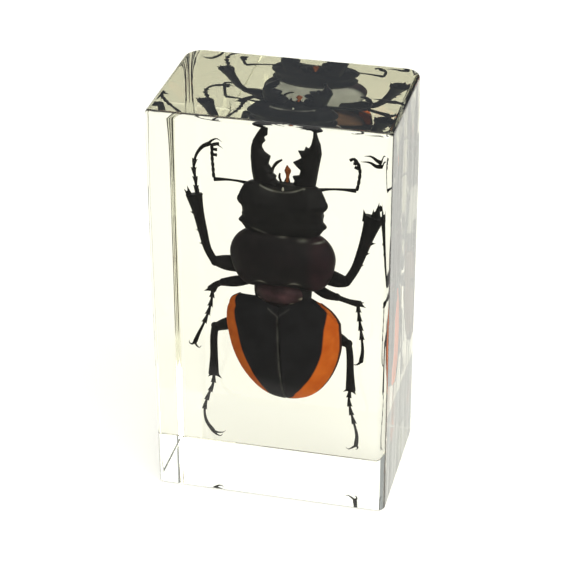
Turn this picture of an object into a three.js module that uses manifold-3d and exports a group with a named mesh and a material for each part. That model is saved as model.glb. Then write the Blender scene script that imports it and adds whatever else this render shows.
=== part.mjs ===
// Stag beetle cast in a clear resin block. Millimetres, +Z up.
// Origin: middle of the block's bottom face. The beetle's back faces -Y and its head points to +Z.
import * as THREE from 'three';
import { mergeVertices } from 'three/addons/utils/BufferGeometryUtils.js';
import Module from 'manifold-3d';

const wasm = await Module();
wasm.setup();

// ---------------------------------------------------------------- driving dimensions

const BLOCK = {
  width: 62, depth: 41, height: 110, corner: 3, cornerSteps: 4, topEdge: 1.4, footEdge: 0.8, edgeSteps: 2,
};
const POUR_LINE = 9.5; // y of the plane where the two pours of resin meet, through the legs
const GAP = 0.3; // between the two pours

// Body sections, hind end first: [z, half width, y of the back, y of the side rim, y of the belly].
const HEAD = [
  [69.6, 7.2, 5.2, 7.8, 11.6],
  [71.2, 9.3, 4.4, 7.6, 12.0],
  [73.4, 10.5, 3.9, 7.4, 12.4],
  [74.8, 11.5, 3.8, 7.4, 12.5],
  [76.0, 10.8, 3.7, 7.3, 12.5],
  [78.2, 10.7, 3.6, 7.2, 12.5],
  [80.3, 11.9, 3.8, 7.0, 12.4],
  [82.2, 11.3, 4.3, 7.0, 12.2],
  [83.9, 10.5, 5.1, 7.2, 12.0],
  [85.2, 9.2, 6.2, 8.0, 11.8],
];
const PRONOTUM = [
  [55.4, 8.6, 4.4, 8.0, 11.8],
  [57.4, 11.6, 2.6, 8.0, 12.4],
  [60.0, 13.0, 1.7, 7.8, 12.8],
  [63.0, 13.8, 1.3, 7.6, 12.9],
  [65.4, 14.0, 1.3, 7.6, 12.9],
  [67.8, 13.4, 1.7, 7.6, 12.8],
  [69.8, 12.4, 2.5, 7.6, 12.5],
  [71.2, 10.8, 3.5, 7.6, 12.0],
  [71.9, 9.2, 4.4, 7.6, 11.6],
];
const MESOTHORAX = [
  [49.6, 5.0, 5.2, 8.0, 12.6],
  [51.0, 6.6, 3.7, 8.0, 12.9],
  [53.0, 7.0, 3.0, 8.0, 13.0],
  [54.6, 6.6, 3.5, 8.0, 12.9],
  [56.6, 5.4, 5.0, 8.0, 12.6],
];
const MESOTHORAX_X = -0.6;
const ELYTRA = [
  [21.5, 2.4, 7.2, 8.6, 9.4],
  [22.4, 5.0, 6.0, 8.6, 9.6],
  [24.2, 7.8, 4.6, 8.6, 9.8],
  [27.2, 10.4, 3.2, 8.5, 9.9],
  [31.2, 12.8, 1.9, 8.4, 9.9],
  [36.0, 14.5, 1.1, 8.3, 9.8],
  [41.5, 15.4, 0.8, 8.2, 9.7],
  [46.0, 15.6, 1.2, 8.1, 9.6],
  [49.4, 15.0, 2.2, 8.1, 9.5],
  [51.6, 13.4, 3.6, 8.1, 9.4],
  [53.2, 10.6, 5.2, 8.1, 9.3],
];
const ABDOMEN = [
  [23.4, 4.0, 8.0, 9.4, 10.6],
  [27.0, 8.6, 7.0, 9.4, 11.8],
  [33.0, 11.8, 6.0, 9.4, 12.8],
  [42.0, 13.2, 6.0, 9.2, 13.2],
  [52.0, 11.4, 7.0, 9.0, 13.0],
];
const BODY_SIDES = 16;
const BODY_ROUNDNESS = 0.85; // 1 is an ellipse, less is boxier
const SUTURE = { sides: 20, depth: 0.5, reach: THREE.MathUtils.degToRad(2.5) }; // groove between the elytra
const ELYTRA_TURN = THREE.MathUtils.degToRad(3.3); // the hind body leans, its tip to +X
const ELYTRA_PIVOT = new THREE.Vector3(-0.9, 8.2, 54);
const ELYTRA_TILT = 0.14; // and its back to -X, by this share of the depth

// The front edge of the head is a hollow curve between the mandibles.
const CLYPEUS = { x: -0.2, z: 94.6, radius: 11.2, from: 2.5, to: 9.5 };
const EYE = { x: 9.6, y: 8.2, z: 77.4, radius: 1.5 };

// The pocket in the resin: a plain hollow round the body, a flat one round each mandible,
// a square tunnel along each limb, and a small box round each spine, claw and mouthpart.
const POCKET_BODY = [
  [19.6, 5.5, 4.6, 8.8, 12.4],
  [23.6, 11.6, 1.8, 8.6, 13.6],
  [30.0, 15.6, 0.0, 8.4, 14.4],
  [37.0, 17.2, -0.6, 8.2, 15.0],
  [47.0, 17.6, -0.6, 8.0, 15.0],
  [54.4, 14.6, 0.2, 7.8, 14.6],
  [64.0, 15.6, -0.2, 7.6, 14.4],
  [70.4, 14.2, 0.8, 7.4, 14.2],
  [81.0, 13.6, 2.0, 7.2, 13.8],
  [86.4, 12.0, 3.8, 7.6, 13.6],
];
const POCKET_MANDIBLES = {
  left: [
    [-9.6, 83.0], [-9.5, 94.6], [-8.6, 97.8], [-6.2, 102.6], [-2.8, 103.4], [-2.8, 92.0], [-0.9, 89.0],
    [0.2, 86.0], [0.2, 83.0],
  ],
  right: [
    [0.6, 83.0], [0.6, 87.0], [1.4, 91.2], [2.8, 95.0], [5.6, 97.0], [6.0, 103.2], [8.6, 103.2],
    [10.8, 95.0], [9.4, 83.0],
  ],
};
const POCKET = {
  bodySides: 10, room: 0.6, bend: 0.55, boxRoom: 1, spineShare: 0.8, mandibleFrom: 7.8, mandibleTo: 12.8,
};

// Mandible outlines, [x, z]: up the outer edge to the tip, then down the toothed inner edge.
const MANDIBLES = {
  left: [
    [-7.6, 83.2], [-8.4, 87.6], [-8.7, 91.4], [-8.6, 94.2], [-8.1, 96.2], [-7.0, 98.2], [-6.0, 99.7],
    [-4.8, 101.6], [-3.8, 102.3], [-4.2, 100.8], [-4.3, 99.0], [-4.5, 97.0], [-5.2, 95.6], [-5.6, 93.8],
    [-5.1, 92.8], [-3.8, 92.1], [-4.0, 90.7], [-3.3, 89.1], [-2.6, 88.2], [-2.0, 87.2], [-2.1, 86.1],
    [-1.2, 85.1], [-0.3, 84.3], [-0.9, 83.2],
  ],
  right: [
    [8.0, 83.2], [8.6, 86.8], [9.2, 90.6], [9.8, 94.0], [9.5, 96.4], [8.8, 98.2], [8.4, 99.6], [8.1, 101.4],
    [7.4, 102.2], [7.2, 101.0], [7.5, 99.8], [7.2, 98.2], [7.2, 96.9], [6.5, 96.0], [5.0, 95.1],
    [4.3, 94.3], [4.8, 93.0], [3.8, 92.1], [2.7, 91.1], [3.2, 90.3], [4.3, 89.3], [4.0, 88.2], [2.5, 87.4],
    [2.2, 86.3], [1.9, 84.6], [1.6, 83.2],
  ],
};
const MANDIBLE = { y: 10.3, half: 1.9, bevel: 1.1, tipHalf: 0.8, from: 84, to: 102 };

// Mouthparts, antennae and legs: stations are [x, y, z, half width] down each limb.
const MOUTHPARTS = {
  tongue: [[0.7, 10.6, 83.4, 0.8], [0.8, 10.9, 86.4, 0.55], [0.8, 11.0, 89.6, 0.25]],
  leftPalp: [[-3.4, 11.2, 86.6, 0.4], [-3.0, 11.6, 88.6, 0.35], [-2.1, 11.8, 90.0, 0.35],
    [-0.7, 12.0, 91.0, 0.3]],
  rightPalp: [[0.2, 9.4, 83.6, 0.4], [-0.6, 9.6, 85.6, 0.35], [-1.2, 9.8, 87.3, 0.3]],
};

const ANTENNAE = {
  left: {
    stalk: [
      [-8.2, 8.6, 84.2, 0.7], [-11.4, 9.1, 84.6, 0.5], [-14.4, 9.5, 84.6, 0.42], [-18.4, 10.3, 84.1, 0.6],
      [-18.7, 10.7, 87.2, 0.45], [-19.0, 11.4, 90.2, 0.5], [-19.1, 12.0, 93.2, 0.65],
    ],
    plates: [
      [[-19.0, 11.5, 90.7], [-17.7, 11.7, 90.6]],
      [[-19.1, 11.8, 92.1], [-17.7, 12.0, 92.0]],
      [[-19.2, 12.0, 93.2], [-17.2, 12.2, 93.5]],
    ],
  },
  right: {
    stalk: [
      [8.4, 8.8, 84.2, 0.7], [11.6, 9.2, 84.8, 0.5], [14.6, 9.6, 85.0, 0.42], [18.9, 10.3, 84.9, 0.6],
      [19.4, 10.6, 87.6, 0.45], [19.5, 11.0, 90.7, 0.5], [18.8, 11.2, 92.6, 0.5], [17.7, 11.4, 93.5, 0.6],
    ],
    plates: [
      [[19.4, 11.0, 90.6], [18.2, 11.0, 91.3]],
      [[18.9, 11.2, 92.1], [17.8, 11.2, 92.2]],
      [[17.8, 11.4, 93.4], [16.9, 11.5, 92.8]],
    ],
  },
};

const LEGS = {
  leftFore: {
    femur: [[-8.0, 11.0, 59.6, 2.3], [-12.4, 10.6, 60.0, 2.4], [-15.8, 9.8, 60.3, 2.2],
      [-18.6, 9.4, 60.6, 1.4]],
    tibia: [[-18.5, 9.4, 60.2, 1.1], [-20.4, 9.5, 63.8, 1.1], [-21.7, 9.8, 69.0, 1.3],
      [-22.9, 10.1, 74.6, 1.6], [-23.9, 10.2, 79.3, 2.3]],
    spines: [
      [[-25.0, 10.2, 78.4], [-26.7, 10.3, 80.6], 0.8], [[-24.9, 10.2, 78.6], [-25.7, 10.2, 81.7], 0.8],
      [[-22.6, 10.2, 78.4], [-21.3, 10.2, 79.7], 0.8], [[-22.9, 10.2, 78.8], [-22.4, 10.2, 81.2], 0.5],
      [[-23.4, 10.0, 73.6], [-25.2, 10.0, 74.2], 0.6], [[-22.2, 9.8, 68.9], [-23.8, 9.8, 69.1], 0.5],
      [[-21.4, 9.6, 65.4], [-23.0, 9.6, 65.2], 0.45],
    ],
    tarsus: [[-23.2, 10.2, 79.0], [-23.3, 10.1, 83.2], [-23.7, 10.0, 87.0], [-22.7, 9.9, 91.1],
      [-21.1, 9.9, 93.2], [-19.3, 9.8, 94.2]],
    claws: [
      [[-19.6, 9.8, 94.2], [-18.5, 9.6, 95.3], [-17.4, 9.5, 95.8], [-15.9, 9.1, 95.1]],
      [[-19.6, 9.8, 94.1], [-18.5, 10.0, 93.7], [-17.4, 10.1, 93.9], [-15.9, 10.5, 92.9]],
    ],
  },
  rightFore: {
    femur: [[7.6, 11.0, 60.0, 2.3], [11.4, 10.6, 59.2, 2.4], [14.6, 9.8, 58.7, 2.1], [16.8, 9.4, 58.6, 1.5]],
    tibia: [[16.6, 9.4, 58.4, 1.2], [18.9, 9.4, 62.6, 1.2], [20.6, 9.6, 67.6, 1.4], [22.1, 9.8, 72.8, 1.8],
      [23.6, 10.0, 78.0, 2.6]],
    spines: [
      [[21.6, 10.0, 77.0], [20.9, 10.0, 79.7], 0.8], [[23.4, 10.0, 77.6], [23.3, 10.1, 80.4], 0.7],
      [[24.1, 10.0, 77.6], [24.8, 10.2, 82.3], 1.1], [[25.5, 10.0, 77.4], [26.9, 10.2, 79.6], 0.9],
      [[22.6, 9.9, 70.3], [24.2, 9.9, 70.6], 0.6], [[21.4, 9.8, 67.2], [22.8, 9.8, 67.6], 0.5],
      [[20.0, 9.6, 63.6], [21.3, 9.6, 64.1], 0.45],
    ],
    tarsus: [[23.6, 10.8, 78.6], [26.0, 11.4, 81.4], [27.9, 11.6, 84.6], [28.3, 11.4, 88.0],
      [27.7, 11.0, 91.0], [25.8, 10.4, 92.9]],
    claws: [
      [[26.0, 10.4, 92.9], [24.2, 9.9, 93.8], [22.4, 9.7, 95.0], [20.6, 9.5, 94.9]],
      [[26.0, 10.4, 92.7], [23.9, 10.6, 92.1], [22.2, 10.8, 92.9], [19.6, 11.0, 92.9]],
    ],
  },
  leftMid: {
    femur: [[-5.0, 12.0, 56.6, 1.2], [-9.4, 11.0, 55.6, 1.3], [-13.0, 9.6, 55.1, 1.6],
      [-16.6, 8.4, 54.7, 1.1]],
    tibia: [[-16.2, 8.4, 54.8, 0.9], [-18.2, 9.2, 53.6, 0.9], [-19.8, 10.0, 51.6, 1.3]],
    spines: [
      [[-20.0, 10.0, 51.8], [-22.0, 10.0, 50.9], 0.7], [[-19.4, 10.0, 52.0], [-18.2, 10.0, 51.2], 0.6],
    ],
    tarsus: [[-19.4, 10.0, 52.2], [-19.7, 9.9, 49.0], [-20.7, 9.7, 44.8], [-22.0, 9.5, 41.2],
      [-23.5, 9.3, 37.8], [-24.6, 9.2, 35.0]],
    claws: [
      [[-24.6, 9.2, 35.3], [-25.4, 9.1, 34.4], [-26.1, 9.1, 34.8], [-26.0, 9.1, 35.7]],
      [[-24.6, 9.2, 35.2], [-24.1, 9.3, 34.0], [-23.4, 9.3, 33.5], [-22.8, 9.3, 34.3]],
    ],
  },
  rightMid: {
    femur: [[4.0, 12.0, 57.4, 1.3], [8.0, 10.8, 55.8, 1.5], [11.4, 9.6, 54.3, 1.5], [14.6, 8.8, 53.9, 1.0]],
    tibia: [[14.2, 8.8, 54.0, 0.8], [17.4, 9.4, 52.9, 0.8], [20.4, 10.0, 52.2, 1.1]],
    spines: [
      [[20.2, 10.0, 52.2], [22.0, 10.0, 51.3], 0.7], [[20.4, 10.0, 52.6], [21.6, 10.0, 52.9], 0.4],
    ],
    tarsus: [[19.7, 10.0, 52.8], [20.0, 9.9, 49.6], [20.6, 9.7, 45.2], [21.1, 9.4, 41.4], [21.3, 9.3, 38.2],
      [20.9, 9.1, 34.9]],
    claws: [
      [[20.9, 9.1, 35.2], [20.2, 9.0, 34.4], [19.5, 9.0, 34.0], [18.7, 9.0, 34.2]],
      [[20.9, 9.1, 35.2], [20.3, 9.6, 34.2], [19.7, 9.9, 33.7], [19.0, 10.1, 33.8]],
    ],
  },
  leftHind: {
    femur: [[-8.0, 12.2, 43.4, 1.6], [-12.6, 11.6, 42.4, 1.9], [-16.4, 10.0, 41.4, 1.7],
      [-19.0, 9.0, 40.4, 1.1]],
    tibia: [[-18.8, 9.0, 41.0, 1.0], [-19.2, 9.0, 37.6, 1.05], [-19.3, 9.1, 32.0, 1.1],
      [-19.5, 9.0, 25.6, 1.5]],
    spines: [
      [[-18.7, 9.0, 26.0], [-17.1, 9.0, 24.5], 0.6], [[-20.0, 9.0, 26.0], [-21.2, 9.0, 24.6], 0.6],
    ],
    tarsus: [[-19.4, 9.0, 26.4], [-19.6, 8.3, 23.1], [-20.9, 7.2, 19.4], [-21.8, 6.0, 15.5],
      [-21.2, 4.7, 12.2], [-18.9, 3.5, 9.3]],
    claws: [
      [[-19.1, 3.6, 9.4], [-17.5, 3.4, 9.3], [-16.3, 3.3, 9.6], [-15.4, 3.2, 10.4]],
      [[-19.1, 3.6, 9.3], [-17.9, 3.5, 8.4], [-17.0, 3.5, 8.3], [-16.4, 3.5, 9.0]],
    ],
  },
  rightHind: {
    femur: [[7.6, 12.2, 43.0, 1.6], [12.0, 11.4, 41.8, 1.8], [15.4, 10.0, 40.8, 1.7], [17.8, 9.0, 39.9, 1.0]],
    tibia: [[17.5, 9.0, 40.4, 0.9], [17.9, 9.0, 37.4, 0.95], [18.1, 9.0, 31.6, 1.05], [18.3, 9.0, 25.8, 1.4]],
    spines: [
      [[17.8, 9.0, 26.3], [16.1, 9.0, 25.1], 0.6], [[18.8, 9.0, 26.0], [19.9, 9.0, 24.6], 0.6],
    ],
    tarsus: [[18.2, 9.0, 26.6], [17.9, 8.8, 23.3], [18.4, 8.6, 19.8], [19.5, 8.4, 15.7], [20.3, 8.2, 11.8],
      [20.1, 8.0, 8.9]],
    claws: [
      [[20.2, 8.0, 9.1], [19.0, 7.9, 8.1], [18.0, 7.8, 7.6], [17.3, 7.7, 8.2]],
      [[20.2, 8.0, 9.1], [20.6, 8.1, 8.3], [20.3, 8.2, 7.7], [19.8, 8.2, 7.7]],
    ],
  },
};
const LIMB_FLATNESS = 0.75; // a femur's or tibia's depth over its width
// Short segments, each a share of the tarsus, that flare to a place on them, and a long last one.
const TARSUS = { short: 4, share: 0.15, flareAt: 0.8, sides: 5, joint: 0.35, swell: 0.7 };
const CLAW = { sides: 4, steps: 3, root: 0.46, tip: 0.12 };
const LIMB_SIDES = 6;

// ---------------------------------------------------------------- solids

function solid(geometry) {
  const bare = geometry.clone();
  bare.deleteAttribute('normal');
  bare.deleteAttribute('uv');
  const merged = mergeVertices(bare, 1e-4);
  return new wasm.Manifold(new wasm.Mesh({
    numProp: 3,
    vertProperties: new Float32Array(merged.attributes.position.array),
    triVerts: new Uint32Array(merged.index.array),
  }));
}

function union(solids) {
  return solids.reduce((all, next) => all.add(next));
}

function toMesh(shape, name, material) {
  const mesh = shape.getMesh();
  const geometry = new THREE.BufferGeometry();
  geometry.setAttribute('position', new THREE.BufferAttribute(mesh.vertProperties, 3));
  geometry.setIndex(new THREE.BufferAttribute(mesh.triVerts, 1));
  geometry.computeVertexNormals();
  const part = new THREE.Mesh(geometry, material);
  part.name = name;
  return part;
}

// Moves every point of a closed cylinder to its place on a row of rings.
// place(row, x, z) takes the ring's number and the point on the unit circle.
function ringed(rows, sides, place) {
  const turn = sides === 4 ? Math.PI / 4 : 0; // a four-sided ring is a square, flat side out
  const geometry = new THREE.CylinderGeometry(1, 1, rows, sides, rows, false, turn);
  const position = geometry.attributes.position;
  for (let i = 0; i < position.count; i += 1) {
    const row = Math.round(rows / 2 - position.getY(i));
    const point = place(row, position.getX(i), position.getZ(i));
    position.setXYZ(i, point.x, point.y, point.z);
  }
  return geometry;
}

// A body segment along Z, from sections with their own back, rim and belly.
// shift(angle) may move a ring's points; the angle is taken from the middle of the back.
function bodySegment(sections, sides = BODY_SIDES, shift = (angle) => angle, groove = 0) {
  const last = sections.length - 1;
  const boxy = (value) => Math.sign(value) * Math.abs(value) ** BODY_ROUNDNESS;
  return ringed(last, sides, (row, x, z) => {
    const [level, half, back, rim, belly] = sections[last - row];
    const onAxis = Math.hypot(x, z) < 0.5;
    const angle = shift(Math.atan2(x, -z));
    const outX = onAxis ? 0 : boxy(Math.sin(angle));
    const outY = onAxis ? 0 : -boxy(Math.cos(angle));
    const dip = !onAxis && Math.abs(angle) < 0.01 ? groove : 0;
    const reach = outY < 0 ? rim - back : belly - rim;
    return new THREE.Vector3(-outX * half, rim + outY * reach + dip, level);
  });
}

// Draws the ring's points beside the suture close to it, so that the groove there is narrow.
function besideSuture(angle) {
  const side = Math.PI / 2;
  const step = (2 * Math.PI) / SUTURE.sides;
  const far = Math.abs(angle);
  if (far < 0.01 || far >= side) return angle;
  return Math.sign(angle) * THREE.MathUtils.mapLinear(far, step, side, SUTURE.reach, side);
}

// A limb through stations [x, y, z, half width]. Flatness is its depth over its width,
// and both ends run on past their stations by overrun.
function limb(stations, sides = LIMB_SIDES, flatness = 1, overrun = 0) {
  const points = stations.map(([x, y, z]) => new THREE.Vector3(x, y, z));
  const last = points.length - 1;
  const depthAxis = new THREE.Vector3(0, 1, 0);
  return ringed(last, sides, (row, x, z) => {
    const ahead = points[Math.min(row + 1, last)];
    const behind = points[Math.max(row - 1, 0)];
    const along = ahead.clone().sub(behind).normalize();
    const across = depthAxis.clone().cross(along).normalize();
    const through = along.clone().cross(across);
    const half = stations[row][3];
    const past = (row === last ? overrun : 0) - (row === 0 ? overrun : 0);
    return points[row].clone()
      .addScaledVector(along, past)
      .addScaledVector(across, x * half)
      .addScaledVector(through, z * half * flatness);
  });
}

function spine([base, tip, radius]) {
  const from = new THREE.Vector3(...base);
  const along = new THREE.Vector3(...tip).sub(from);
  const cone = new THREE.ConeGeometry(radius, along.length(), 5);
  const coneAxis = new THREE.Vector3(0, 1, 0);
  cone.translate(0, along.length() / 2, 0);
  cone.applyQuaternion(new THREE.Quaternion().setFromUnitVectors(coneAxis, along.normalize()));
  return cone.translate(from.x, from.y, from.z);
}

// ---------------------------------------------------------------- the beetle's parts

const leaning = new THREE.Matrix4()
  .makeTranslation(ELYTRA_PIVOT)
  .multiply(new THREE.Matrix4().makeRotationY(-ELYTRA_TURN))
  .multiply(new THREE.Matrix4().makeShear(0, 0, ELYTRA_TILT, 0, 0, 0))
  .multiply(new THREE.Matrix4().makeTranslation(ELYTRA_PIVOT.clone().negate()));

function head() {
  const depth = CLYPEUS.to - CLYPEUS.from;
  const hollow = new THREE.CylinderGeometry(CLYPEUS.radius, CLYPEUS.radius, depth, 40);
  hollow.translate(CLYPEUS.x, CLYPEUS.from + depth / 2, CLYPEUS.z);
  const eyes = [-1, 1].map((side) => {
    return solid(new THREE.SphereGeometry(EYE.radius, 8, 5).translate(side * EYE.x, EYE.y, EYE.z));
  });
  return solid(bodySegment(HEAD)).subtract(solid(hollow)).add(union(eyes));
}

function trunk() {
  return union([
    solid(bodySegment(PRONOTUM)),
    solid(bodySegment(MESOTHORAX, 12).translate(MESOTHORAX_X, 0, 0)),
    solid(bodySegment(ELYTRA, SUTURE.sides, besideSuture, SUTURE.depth).applyMatrix4(leaning)),
    solid(bodySegment(ABDOMEN, 12).applyMatrix4(leaning)),
  ]);
}

// A toothed blade: its outline swells by the bevel, and it thins towards the tip.
function mandible(outline) {
  const shape = new THREE.Shape(outline.map(([x, z]) => new THREE.Vector2(x, z)));
  const blade = new THREE.ExtrudeGeometry(shape, {
    depth: 2 * (MANDIBLE.half - MANDIBLE.bevel),
    bevelThickness: MANDIBLE.bevel,
    bevelSize: 0.35,
    bevelOffset: -0.35,
    bevelSegments: 1,
  });
  blade.translate(0, 0, -(MANDIBLE.half - MANDIBLE.bevel));
  const position = blade.attributes.position;
  for (let i = 0; i < position.count; i += 1) {
    const share = THREE.MathUtils.smoothstep(position.getY(i), MANDIBLE.from, MANDIBLE.to);
    const scale = THREE.MathUtils.lerp(1, MANDIBLE.tipHalf / MANDIBLE.half, share);
    position.setZ(i, position.getZ(i) * scale);
  }
  blade.rotateX(Math.PI / 2);
  return blade.translate(0, MANDIBLE.y, 0);
}

function antenna({ stalk, plates }) {
  const clubs = plates.map(([from, to]) => limb([[...from, 0.35], [...to, 0.5]], 5));
  return union([solid(limb(stalk, 5)), ...clubs.map(solid)]);
}

// Four short flared segments along a smooth curve, then a long one that carries the claws.
function tarsus(points) {
  const curve = new THREE.CatmullRomCurve3(points.map((p) => new THREE.Vector3(...p)));
  const station = (place, half) => [...curve.getPointAt(place).toArray(), half];
  const stations = [];
  for (let i = 0; i < TARSUS.short; i += 1) {
    stations.push(station(i * TARSUS.share, TARSUS.joint));
    stations.push(station((i + TARSUS.flareAt) * TARSUS.share, TARSUS.swell));
  }
  stations.push(station(TARSUS.short * TARSUS.share, TARSUS.joint));
  stations.push(station(1, TARSUS.swell));
  return limb(stations, TARSUS.sides);
}

function claw(points) {
  const curve = new THREE.CatmullRomCurve3(points.map((p) => new THREE.Vector3(...p)));
  const stations = curve.getPoints(CLAW.steps).map((p, i) => {
    return [...p.toArray(), THREE.MathUtils.lerp(CLAW.root, CLAW.tip, i / CLAW.steps)];
  });
  return limb(stations, CLAW.sides);
}

function leg({ femur, tibia, spines, tarsus: toes, claws }) {
  return union([
    solid(limb(femur, LIMB_SIDES, LIMB_FLATNESS)),
    solid(limb(tibia, LIMB_SIDES, LIMB_FLATNESS)),
    ...spines.map(spine).map(solid),
    solid(tarsus(toes)),
    ...claws.map(claw).map(solid),
  ]);
}

function beetle() {
  return union([
    head(),
    trunk(),
    ...Object.values(MANDIBLES).map(mandible).map(solid),
    ...Object.values(MOUTHPARTS).map((stations) => solid(limb(stations, 5))),
    ...Object.values(ANTENNAE).map(antenna),
    ...Object.values(LEGS).map(leg),
  ]);
}

// ---------------------------------------------------------------- the pocket round the beetle

// A square tunnel through the limb's stations, as far off it as room says.
function tunnel(stations, room) {
  const corners = stations.map(([x, y, z, half]) => [x, y, z, (half + room) * Math.SQRT2]);
  return solid(limb(corners, 4, 1, room));
}

function boxAround(points, room) {
  const bounds = new THREE.Box3().setFromPoints(points.map((p) => new THREE.Vector3(...p)));
  bounds.expandByScalar(room);
  const size = bounds.getSize(new THREE.Vector3());
  const middle = bounds.getCenter(new THREE.Vector3());
  return solid(new THREE.BoxGeometry(...size.toArray()).translate(...middle.toArray()));
}

function mandiblePocket(outline) {
  const shape = new THREE.Shape(outline.map(([x, z]) => new THREE.Vector2(x, z)));
  const depth = POCKET.mandibleTo - POCKET.mandibleFrom;
  const plate = new THREE.ExtrudeGeometry(shape, { depth, bevelEnabled: false });
  return solid(plate.rotateX(Math.PI / 2).translate(0, POCKET.mandibleTo, 0));
}

function legPocket({ femur, tibia, spines, tarsus: toes, claws }) {
  return union([
    tunnel(femur, POCKET.room),
    tunnel(tibia, POCKET.room),
    tunnel(toes.map((p) => [...p, TARSUS.swell]), POCKET.room + POCKET.bend),
    boxAround(claws.flat(), CLAW.root + POCKET.bend),
    ...spines.map(([base, tip, radius]) => boxAround([base, tip], radius * POCKET.spineShare + POCKET.room)),
  ]);
}

function pocket() {
  return union([
    solid(bodySegment(POCKET_BODY, POCKET.bodySides)),
    ...Object.values(POCKET_MANDIBLES).map(mandiblePocket),
    ...Object.values(MOUTHPARTS).map((stations) => {
      return boxAround(stations.map((p) => p.slice(0, 3)), POCKET.boxRoom);
    }),
    ...Object.values(ANTENNAE).map(({ stalk }) => tunnel(stalk, POCKET.room)),
    ...Object.values(ANTENNAE).map(({ plates }) => boxAround(plates.flat(), POCKET.boxRoom)),
    ...Object.values(LEGS).map(legPocket),
  ]);
}

// ---------------------------------------------------------------- the resin

// A convex solid: flat sides between rounded upright corners, with a round edge at each end.
function resinBlock() {
  const { width, depth, height, corner, cornerSteps, topEdge, footEdge, edgeSteps } = BLOCK;
  const quarter = Math.PI / 2;
  const ends = [[topEdge, height, -1], [footEdge, 0, 1]];
  const points = [];
  for (const [sideX, sideY] of [[1, 1], [-1, 1], [-1, -1], [1, -1]]) {
    for (let step = 0; step <= cornerSteps; step += 1) {
      const angle = (quarter * step) / cornerSteps;
      for (const [edge, level, inward] of ends) {
        for (let row = 0; row <= edgeSteps; row += 1) {
          const lean = (quarter * row) / edgeSteps;
          const reach = corner - edge * (1 - Math.cos(lean));
          points.push([
            sideX * (width / 2 - corner + reach * Math.cos(angle)),
            sideY * (depth / 2 - corner + reach * Math.sin(angle)),
            level + inward * edge * (1 - Math.sin(lean)),
          ]);
        }
      }
    }
  }
  return wasm.Manifold.hull(points);
}

function slab(fromY, toY) {
  const box = new THREE.BoxGeometry(2 * BLOCK.width, toY - fromY, 2 * BLOCK.height);
  return solid(box.translate(0, (fromY + toY) / 2, BLOCK.height / 2));
}

const resinMaterial = new THREE.MeshStandardMaterial({
  color: 0xf6f5ea, roughness: 0.05, metalness: 0, transparent: true, opacity: 0.3,
});
const beetleMaterial = new THREE.MeshStandardMaterial({ color: 0x1e1a1c, roughness: 0.5, metalness: 0 });

const block = resinBlock().subtract(pocket());
const group = new THREE.Group();
group.add(
  toMesh(block.intersect(slab(-BLOCK.depth, POUR_LINE - GAP / 2)), 'resin_front', resinMaterial),
  toMesh(block.intersect(slab(POUR_LINE + GAP / 2, BLOCK.depth)), 'resin_back', resinMaterial),
  toMesh(beetle(), 'stag_beetle', beetleMaterial),
);

export default group;
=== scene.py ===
"""A stag beetle cast in a clear resin block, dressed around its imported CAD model.

Shapes are written in millimetres, in the CAD model's own frame (+Z up, origin in the middle of the
block's bottom face, the beetle's back towards -Y), and turned into metres where a mesh is made.
"""
import math

import bmesh
import bpy
import numpy as np
from mathutils import Matrix, Vector


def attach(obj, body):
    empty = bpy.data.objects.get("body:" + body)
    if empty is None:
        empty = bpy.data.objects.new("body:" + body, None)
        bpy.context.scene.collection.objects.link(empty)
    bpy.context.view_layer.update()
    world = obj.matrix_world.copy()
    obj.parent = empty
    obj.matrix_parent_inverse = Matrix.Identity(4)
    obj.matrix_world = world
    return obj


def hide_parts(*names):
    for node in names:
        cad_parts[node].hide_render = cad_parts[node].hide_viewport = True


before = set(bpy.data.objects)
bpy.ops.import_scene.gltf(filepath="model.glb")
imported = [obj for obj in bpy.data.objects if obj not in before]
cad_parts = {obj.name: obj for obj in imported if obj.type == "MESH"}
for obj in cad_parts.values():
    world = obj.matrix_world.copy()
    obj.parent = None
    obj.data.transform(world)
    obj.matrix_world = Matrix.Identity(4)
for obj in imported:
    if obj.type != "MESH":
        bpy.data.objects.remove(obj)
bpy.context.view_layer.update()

MM = 0.001
ROOT = "root"
BEETLE_NODE = "stag_beetle"

# ---------------------------------------------------------------- sizes, in millimetres

BLOCK = {
    "width": 62.0, "depth": 41.0, "height": 110.0, "top_edge": 1.4, "foot_edge": 0.35, "edge_steps": 12,
    "corner_steps": 20, "rounder_from": 84.0, "rounder_steps": 16,
}
# Upright corners: side of x, side of y, radius below, radius at the top.
BLOCK_CORNERS = [(1, 1, 2.2, 4.2), (-1, 1, 1.7, 5.0), (-1, -1, 1.6, 2.2), (1, -1, 2.2, 3.0)]

# Body sections, hind end first: height, half width, then y of the back, the side rim and the belly.
HEAD = [
    (69.6, 6.8, 5.4, 7.8, 11.4),
    (70.6, 8.6, 4.7, 7.7, 11.8),
    (72.0, 9.8, 4.2, 7.6, 12.1),
    (73.6, 10.9, 3.9, 7.5, 12.4),
    (74.4, 11.6, 3.8, 7.4, 12.5),
    (75.0, 11.2, 3.8, 7.4, 12.5),
    (75.7, 10.7, 3.8, 7.3, 12.5),
    (76.4, 10.7, 3.7, 7.3, 12.5),
    (77.6, 10.5, 3.6, 7.2, 12.5),
    (78.8, 10.9, 3.6, 7.1, 12.5),
    (79.6, 11.6, 3.7, 7.0, 12.4),
    (80.4, 11.9, 3.8, 7.0, 12.4),
    (81.8, 11.4, 4.2, 7.0, 12.2),
    (83.4, 10.7, 4.8, 7.2, 12.0),
    (84.6, 10.0, 5.6, 7.6, 11.9),
    (85.3, 8.8, 6.6, 8.2, 11.6),
]
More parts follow.
